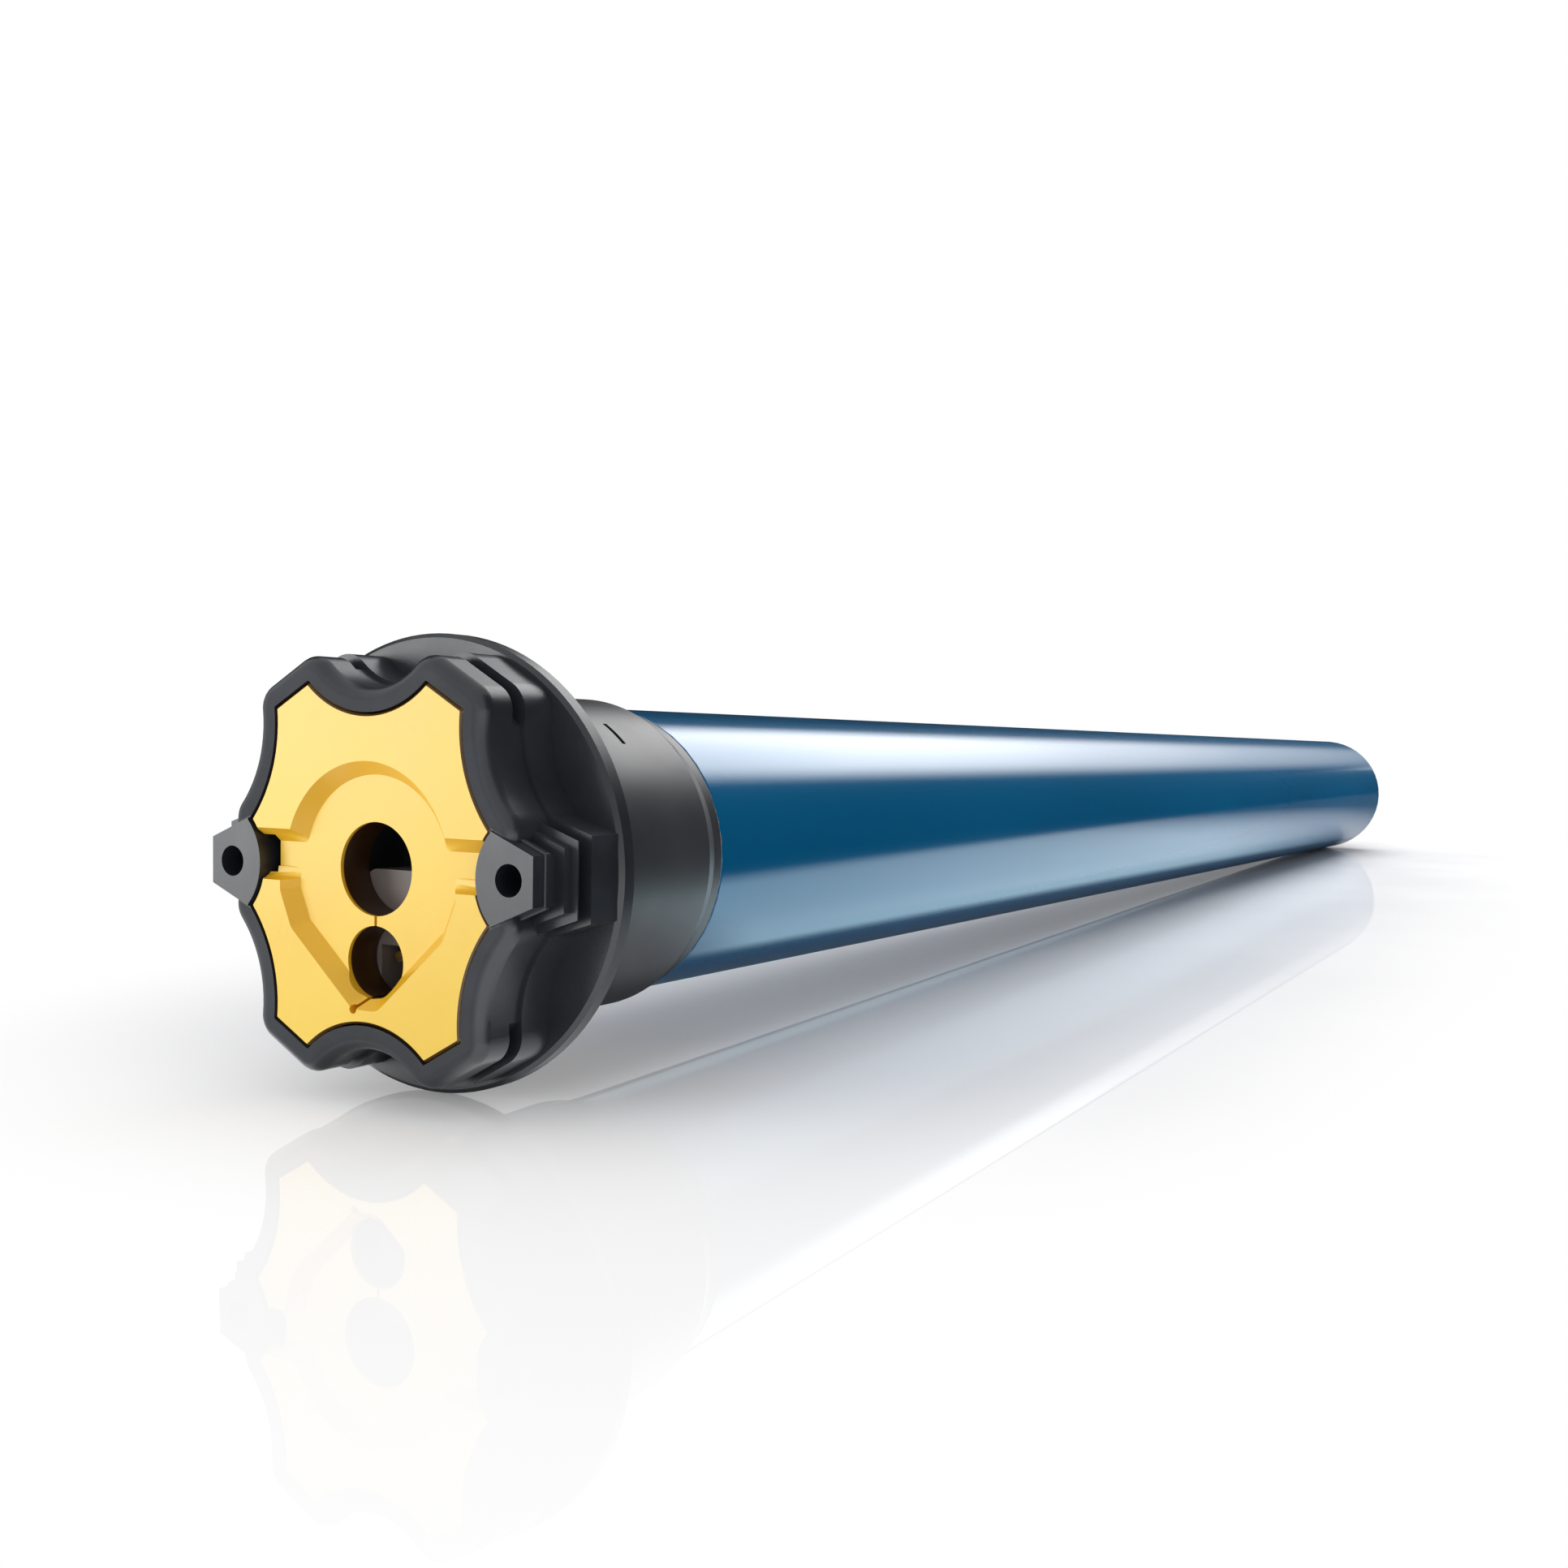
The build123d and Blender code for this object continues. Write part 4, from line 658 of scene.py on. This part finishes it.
# %% A rib round one ear
# In mm: how far the rib starts behind the front face, its width, how far it
# stands proud of the ear and reaches into it, and where its two legs end.
RIB_START, RIB_WIDTH, RIB_RISE, RIB_SUNK = 2.0, 1.0, 0.45, 0.25
RIB_FOOT = 23.6
lift = (RIB_RISE - RIB_SUNK) / 2
flat_y, flat_z = EAR_FLAT + lift, EAR_FLAT_HALF + lift * EAR_SLOPE
foot_z = EAR_FLAT_HALF + lift + (EAR_FLAT - RIB_FOOT) * EAR_SLOPE
outline = [(RIB_FOOT, foot_z), (flat_y, flat_z), (flat_y, -flat_z), (RIB_FOOT, -foot_z)]
rib_left = ear_rib("ear_rib_left", outline, RIB_START, RIB_WIDTH, RIB_RISE, RIB_SUNK)
rib_left.data.materials.append(black_nylon)
print("rib from", RIB_START, "to", RIB_START + RIB_WIDTH, "mm behind the face")

# %% [markdown]
# ## The other ear's rib
#
# The second ear is the mirror image of the first, and so is its rib. It is not
# modelled again: the first one is copied with a mesh of its own and turned over.
# Turning a mesh over leaves its faces inside out, so their normals are made
# consistent again.

# %% Mirrored copy of the rib
bpy.ops.object.select_all(action="DESELECT")
rib_left.select_set(True)
bpy.context.view_layer.objects.active = rib_left
bpy.ops.object.duplicate(linked=False)
rib_right = bpy.context.object
rib_right.name = rib_right.data.name = "ear_rib_right"
rib_right.scale.y = -1
bpy.ops.object.transform_apply(location=False, rotation=False, scale=True)
bpy.ops.object.mode_set(mode="EDIT")
bpy.ops.mesh.select_all(action="SELECT")
bpy.ops.mesh.normals_make_consistent(inside=False)
bpy.ops.object.mode_set(mode="OBJECT")
for rib in (rib_left, rib_right):
    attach(rib, "motor_body")
    print(rib.name, len(rib.data.polygons), "faces", rib.data.users, "user")

# %% [markdown]
# ## Table
#
# The motor lies on a glossy white table. Its flange is wider than its tube, so it
# rests on the flange at one end and on the tube's far rim at the other, and the
# table is tilted a little in the motor's own frame. One large plane is enough.

# %% Table top
TABLE_SIZE = 16.0
REST_GAP = 0.2 * MM
FLANGE_X = 15.25 * MM

flange_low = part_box("head_shell")[0]
drop = (tube_low.z - flange_low.z) / (tube_high.x - FLANGE_X)
tilt = math.atan(drop)
place = (FLANGE_X, 0, flange_low.z - REST_GAP)
bpy.ops.mesh.primitive_plane_add(size=TABLE_SIZE, location=place, rotation=(0, -tilt, 0))
table = bpy.context.object
table.name = "table"
bpy.ops.object.transform_apply(location=True, rotation=True, scale=True)
print("table tilts", round(math.degrees(tilt), 2), "degrees")

# %% [markdown]
# ## Distance from the motor
#
# Most of what the table does depends on how far a point is from the motor. That
# could be read from a painted image. Here it is measured: a point's nearest place
# on the motor's axis lies straight across from it, held between the back of the
# head and the tube's end, and the distance to that place is the one wanted. The
# distances below are all in metres.

# %% Distance from the motor on the table
SHADE_START = 0.08

laminate, tree = start_material("white_gloss_laminate")
where = add_node(tree, "ShaderNodeTexCoord").outputs["Object"]
rays = add_node(tree, "ShaderNodeLightPath")
split = add_node(tree, "ShaderNodeSeparateXYZ", links={"Vector": where})
held = {"Min": SHADE_START, "Max": tube_high.x}
on_axis = add_node(tree, "ShaderNodeClamp", held, {"Value": split.outputs["X"]})
foot = add_node(tree, "ShaderNodeCombineXYZ", links={"X": on_axis, "Z": split.outputs["Z"]})
links = {0: where, 1: foot}
from_motor = add_node(tree, "ShaderNodeVectorMath", links=links, operation="DISTANCE")
print("distance taken from x", SHADE_START, "to", round(tube_high.x, 3), "m")

# %% [markdown]
# ## White laminate
#
# Close to the motor the table is a real white laminate, lightly smeared by wiping,
# and takes the motor's soft shade. A plain white one would look grey where the
# light is even, so it also glows a little to the camera, and less the closer it
# comes to the motor, which leaves the shade dark where the motor touches it.

# %% White laminate with the motor's shade
GLOW, GLOW_FROM, GLOW_REACH = 0.2, 0.015, 0.1
SMEAR_MM = 60.0

noise = {"Scale": per(SMEAR_MM), "Detail": 3.0}
smears = add_node(tree, "ShaderNodeTexNoise", noise, {"Vector": where})
spread = NOISE_RANGE | {"To Min": 0.13, "To Max": 0.18}
rough = add_node(tree, "ShaderNodeMapRange", spread, {"Value": smears})
surface = {"Base Color": colour("F4F4F6"), "Specular IOR Level": 0.06}
near = add_node(tree, "ShaderNodeBsdfPrincipled", surface, {"Roughness": rough})
links = {"Value": from_motor.outputs["Value"]}
spread = {"From Min": GLOW_FROM, "From Max": GLOW_REACH, "To Min": 0.0, "To Max": GLOW}
rising = add_node(tree, "ShaderNodeMapRange", spread, links)
links = {0: rising, 1: rays.outputs["Is Camera Ray"]}
glow = add_node(tree, "ShaderNodeMath", links=links, operation="MULTIPLY")
lit = add_node(tree, "ShaderNodeEmission", links={"Strength": glow})
near_table = add_node(tree, "ShaderNodeAddShader", links={0: near, 1: lit})
print("glow grows to", GLOW, "at", GLOW_REACH, "m")

# %% [markdown]
# ## Plain white further off
#
# The picture has no horizon: a little way from the motor the table is as white as
# the room. Brighter lamps would burn out the motor too. So from there on the
# table gives plain white to the rays that make the picture, and stays an
# ordinary table to the light that falls on the motor.


# %% Plain white away from the motor
def picture_rays(tree, rays):
    """1 for the rays that make the picture, 0 for those that only bring light."""
    links = {0: rays.outputs["Is Camera Ray"], 1: rays.outputs["Is Glossy Ray"]}
    either = add_node(tree, "ShaderNodeMath", links=links, operation="MAXIMUM")
    links = {0: either, 1: rays.outputs["Is Transmission Ray"]}
    return add_node(tree, "ShaderNodeMath", links=links, operation="MAXIMUM")


WHITE_FROM, WHITE_TO = 0.05, 0.13
links = {"Value": from_motor.outputs["Value"]}
spread = {"From Min": WHITE_FROM, "From Max": WHITE_TO}
far = add_node(tree, "ShaderNodeMapRange", spread, links, interpolation_type="SMOOTHSTEP")
links = {0: far, 1: picture_rays(tree, rays)}
far_seen = add_node(tree, "ShaderNodeMath", links=links, operation="MULTIPLY")
far_white = add_node(tree, "ShaderNodeEmission", {"Strength": 1.0})
links = {0: far_seen, 1: near_table, 2: far_white}
white_table = add_node(tree, "ShaderNodeMixShader", links=links)
print("plain white from", WHITE_TO, "m off")

# %% [markdown]
# ## Dark table beside the motor, in gloss only
#
# The tube's lower side mirrors the table. In the picture that is a pale band with
# dark blue on either side of it, as from a narrow strip of white table. The
# strip could be a card on a black table, but the table has to look white. So it
# is dark to glossy rays only: beyond an edge that widens along the motor, right
# under the tube where no light gets in, and towards the far end. In front of the
# head it stays bright, since the face mirrors it there.

# %% Edge and far end of the strip
STRIP_NARROW, STRIP_OPENING, STRIP_SOFT = 0.05, 0.1, 0.025
DIM_FROM, DIM_TO, DIM = 0.4, 0.75, 0.92

links = {0: split.outputs["Y"]}
sideways = add_node(tree, "ShaderNodeMath", links=links, operation="ABSOLUTE")
edge, links = {1: STRIP_OPENING, 2: STRIP_NARROW}, {0: split.outputs["X"]}
strip_edge = add_node(tree, "ShaderNodeMath", edge, links, operation="MULTIPLY_ADD")
links = {0: sideways, 1: strip_edge}
past_edge = add_node(tree, "ShaderNodeMath", links=links, operation="SUBTRACT")
spread = {"From Max": STRIP_SOFT}
beyond = add_node(tree, "ShaderNodeMapRange", spread, {"Value": past_edge})
spread = {"From Min": DIM_FROM, "From Max": DIM_TO, "To Max": DIM}
dimmer = add_node(tree, "ShaderNodeMapRange", spread, {"Value": split.outputs["X"]})
print("strip opens from", STRIP_NARROW, "m to either side")

# %% Dark under the tube, bright before the head
SHADE_HALF, SHADE_EDGE, UNDER_TUBE = 0.011, 0.004, 0.65
DARK_FROM, DARK_FULL = -0.02, 0.04

spread = {"From Min": SHADE_HALF, "From Max": SHADE_HALF + SHADE_EDGE}
open_side = add_node(tree, "ShaderNodeMapRange", spread, {"Value": sideways})
spread = {"To Min": UNDER_TUBE, "To Max": 0.0}
under = add_node(tree, "ShaderNodeMapRange", spread, {"Value": open_side})
links = {0: beyond, 1: dimmer}
aside = add_node(tree, "ShaderNodeMath", links=links, operation="MAXIMUM")
links = {0: aside, 1: under}
shaded = add_node(tree, "ShaderNodeMath", links=links, operation="MAXIMUM")
spread = {"From Min": DARK_FROM, "From Max": DARK_FULL}
beside = add_node(tree, "ShaderNodeMapRange", spread, {"Value": split.outputs["X"]})
links = {0: shaded, 1: beside}
off_strip = add_node(tree, "ShaderNodeMath", links=links, operation="MULTIPLY")
links = {0: off_strip, 1: rays.outputs["Is Glossy Ray"]}
unlit = add_node(tree, "ShaderNodeMath", links=links, operation="MULTIPLY")
print("dark up to", SHADE_HALF, "m from under the axis")

# %% [markdown]
# ## Bright strip beside the motor, in gloss only
#
# The strip itself is brighter than the table to glossy rays: white before the
# head, dim beside it, and a cold white along the tube that fades out towards its
# far end. A ramp holds these colours. Its places are metres along the motor, as
# the place on the axis goes into it unchanged.

# %% Bright strip and dark table together
SHINE = 1.25
STRIP_COLOURS = [(0.0, "FFFFFF"), (0.04, "404040"), (0.07, "404040"), (0.1, "CBF4FF")]
STRIP_COLOURS += [(0.25, "AFD2DC"), (0.62, "000000")]

links = {"Fac": split.outputs["X"]}
down_table = add_node(tree, "ShaderNodeValToRGB", links=links, stops=STRIP_COLOURS)
links = {0: open_side, 1: rays.outputs["Is Glossy Ray"]}
in_gloss = add_node(tree, "ShaderNodeMath", links=links, operation="MULTIPLY")
shine = add_node(tree, "ShaderNodeMath", {1: SHINE}, {0: in_gloss}, operation="MULTIPLY")
links = {"Color": down_table, "Strength": shine}
shining = add_node(tree, "ShaderNodeEmission", links=links)
bright = add_node(tree, "ShaderNodeAddShader", links={0: white_table, 1: shining})
dark = add_node(tree, "ShaderNodeBsdfDiffuse", {"Color": colour("101214")})
whole = add_node(tree, "ShaderNodeMixShader", links={0: unlit, 1: bright, 2: dark})
print("strip ends", STRIP_COLOURS[-1][0], "m along the motor")

# %% [markdown]
# ## Mirror image in the laminate
#
# The polished table shows a faint upside-down image of the head and the tube. A
# copy of the motor under the table would do it too, but would have to follow
# every pose. A sharp mirror layer does it by itself. It is laid on for the camera
# only, and faded out with the distance, so that the white stays plain.

# %% Mirror image in the laminate
MIRROR, MIRROR_FROM, MIRROR_TO = 0.14, 0.09, 0.2

links = {"Value": from_motor.outputs["Value"]}
spread = {"From Min": MIRROR_FROM, "From Max": MIRROR_TO, "To Min": MIRROR, "To Max": 0.0}
fading = add_node(tree, "ShaderNodeMapRange", spread, links)
links = {0: fading, 1: rays.outputs["Is Camera Ray"]}
mirrored = add_node(tree, "ShaderNodeMath", links=links, operation="MULTIPLY")
polish = add_node(tree, "ShaderNodeBsdfAnisotropic", {"Color": WHITE, "Roughness": 0.0})
links = {0: mirrored, 1: whole, 2: polish}
polished = add_node(tree, "ShaderNodeMixShader", links=links)
add_node(tree, "ShaderNodeOutputMaterial", links={"Surface": polished})
table.data.materials.append(laminate)
print("mirror image", MIRROR, "strong up to", MIRROR_FROM, "m off")

# %% [markdown]
# ## Studio light: front panel
#
# A small panel stands low in front of the head, where the ears and the plate
# mirror it, and gives them their sheen. It is a lamp with an area, as a point
# would leave hard shadows. Its power follows from how bright its face should
# look, so that a change of its size leaves its mirror image as bright as before.

# %% Front panel
PANEL_PLACE = Vector((-0.31, 0.29, 0.03))
PANEL_WIDTH, PANEL_HEIGHT, PANEL_RADIANCE = 0.24, 0.14, 5.5

panel = bpy.data.lights.new("front_panel", "AREA")
panel.shape = "RECTANGLE"
panel.size, panel.size_y = PANEL_WIDTH, PANEL_HEIGHT
panel.energy = PANEL_RADIANCE * math.pi * PANEL_WIDTH * PANEL_HEIGHT
lamp = bpy.data.objects.new("front_panel", panel)
bpy.context.scene.collection.objects.link(lamp)
lamp.location = PANEL_PLACE
lamp.rotation_euler = (-PANEL_PLACE).to_track_quat("-Z", "Y").to_euler()
print("front panel", round(panel.energy, 1), "W")

# %% [markdown]
# ## Studio light: long soft box
#
# A long soft box hangs over the tube and draws the pale band along it. A lamp
# would be equally bright all over and end in a sharp edge. Here it is a plane of
# diffuser cloth that shines, with a ramp along it and soft sides, so the band
# fades down the tube. It throws its light and shows in the motor's gloss, but
# the table's sharp mirror sees through it, or its edge would cross the white.

# %% Cloth of the soft box
BOX_START, BOX_END = 0.25, 2.75
BOX_HALF, BOX_CORE = 0.28, 0.1
BOX_PEAK = 4.5
BOX_SHADES = [(0.0, "000000"), (0.08, "FFFFFF"), (0.22, "FFFFFF"), (0.4, "B8B8B8")]
BOX_SHADES += [(0.6, "828282"), (0.9, "585858"), (1.0, "000000")]


def hide_from_mirror(tree, shader):
    """Finish a material that perfectly sharp mirror rays pass through."""
    rays = add_node(tree, "ShaderNodeLightPath")
    clear = add_node(tree, "ShaderNodeBsdfTransparent")
    links = {0: rays.outputs["Is Singular Ray"], 1: shader, 2: clear}
    hidden = add_node(tree, "ShaderNodeMixShader", links=links)
    add_node(tree, "ShaderNodeOutputMaterial", links={"Surface": hidden})


cloth, tree = start_material("graded_diffuser_cloth")
where = add_node(tree, "ShaderNodeTexCoord").outputs["Object"]
split = add_node(tree, "ShaderNodeSeparateXYZ", links={"Vector": where})
spread = {"From Min": BOX_START, "From Max": BOX_END}
down_box = add_node(tree, "ShaderNodeMapRange", spread, {"Value": split.outputs["X"]})
fading = add_node(tree, "ShaderNodeValToRGB", links={"Fac": down_box}, stops=BOX_SHADES)
links = {0: split.outputs["Y"]}
sideways = add_node(tree, "ShaderNodeMath", links=links, operation="ABSOLUTE")
spread = {"From Min": BOX_CORE, "From Max": BOX_HALF, "To Min": BOX_PEAK, "To Max": 0.0}
links = {"Value": sideways}
across = add_node(tree, "ShaderNodeMapRange", spread, links, interpolation_type="SMOOTHSTEP")
links = {"Color": fading, "Strength": across}
hide_from_mirror(tree, add_node(tree, "ShaderNodeEmission", links=links))
print("cloth shines with", BOX_PEAK, "along its middle")

# %% Graded soft box over the tube
BOX_HEIGHT = 0.36

place = ((BOX_START + BOX_END) / 2, 0, BOX_HEIGHT)
bpy.ops.mesh.primitive_plane_add(size=1, location=place)
box = bpy.context.object
box.name = "graded_soft_box"
box.scale = (BOX_END - BOX_START, 2 * BOX_HALF, 1)
bpy.ops.object.transform_apply(location=True, rotation=True, scale=True)
box.data.materials.append(cloth)
box.visible_camera = False
box.visible_shadow = False
print("soft box", BOX_END - BOX_START, "m long")

# %% [markdown]
# ## Studio light: black screens
#
# A long black screen stands on either side of the motor, as photographers put
# them, so that the gloss falls off to deep blue and black between the bright
# bands. They take no light away and throw no shadow: only glossy rays see them.
# The table's sharp mirror sees through them, like the soft box.

# %% Black screens
SCREEN_HEIGHT, SCREEN_SUNK, SCREEN_END = 1.0, 0.05, 12.0
# Side, distance from the axis and start along it, in metres.
SCREENS = (("near", -0.62, -0.25), ("far", 0.55, 0.1))

screen_cloth, tree = start_material("black_screen_cloth")
cloth = {"Base Color": colour("0A0A0B"), "Roughness": 0.9}
hide_from_mirror(tree, add_node(tree, "ShaderNodeBsdfPrincipled", cloth))
upright = (math.pi / 2, 0, 0)
for side_name, side_y, start_x in SCREENS:
    place = ((SCREEN_END + start_x) / 2, side_y, SCREEN_HEIGHT / 2 - SCREEN_SUNK)
    bpy.ops.mesh.primitive_plane_add(size=1, location=place, rotation=upright)
    screen = bpy.context.object
    screen.name = f"black_screen_{side_name}"
    screen.scale = (SCREEN_END - start_x, SCREEN_HEIGHT, 1)
    bpy.ops.object.transform_apply(location=True, rotation=True, scale=True)
    screen.data.materials.append(screen_cloth)
    screen.visible_camera = False
    screen.visible_diffuse = False
    screen.visible_shadow = False
    screen.visible_transmission = False
    print(screen.name, "stands", abs(side_y), "m from the axis")

# %% [markdown]
# ## Studio light: white room
#
# A white room stands all round, which is the background of the picture. At full
# white it would also light the motor from everywhere and wash it out. So it is
# plain white to the rays that make the picture and a little dimmer as a light.

# %% White room
AMBIENT = 0.7

world = bpy.data.worlds.new("white_room")
bpy.context.scene.world = world
world.use_nodes = True
tree = world.node_tree
tree.nodes.clear()
seen = picture_rays(tree, add_node(tree, "ShaderNodeLightPath"))
spread = {"To Min": AMBIENT, "To Max": 1.0}
strength = add_node(tree, "ShaderNodeMapRange", spread, {"Value": seen})
room = add_node(tree, "ShaderNodeBackground", {"Color": WHITE}, {"Strength": strength})
add_node(tree, "ShaderNodeOutputWorld", links={"Surface": room})
bpy.context.scene.view_settings.view_transform = "Standard"
print("room lights with", AMBIENT)
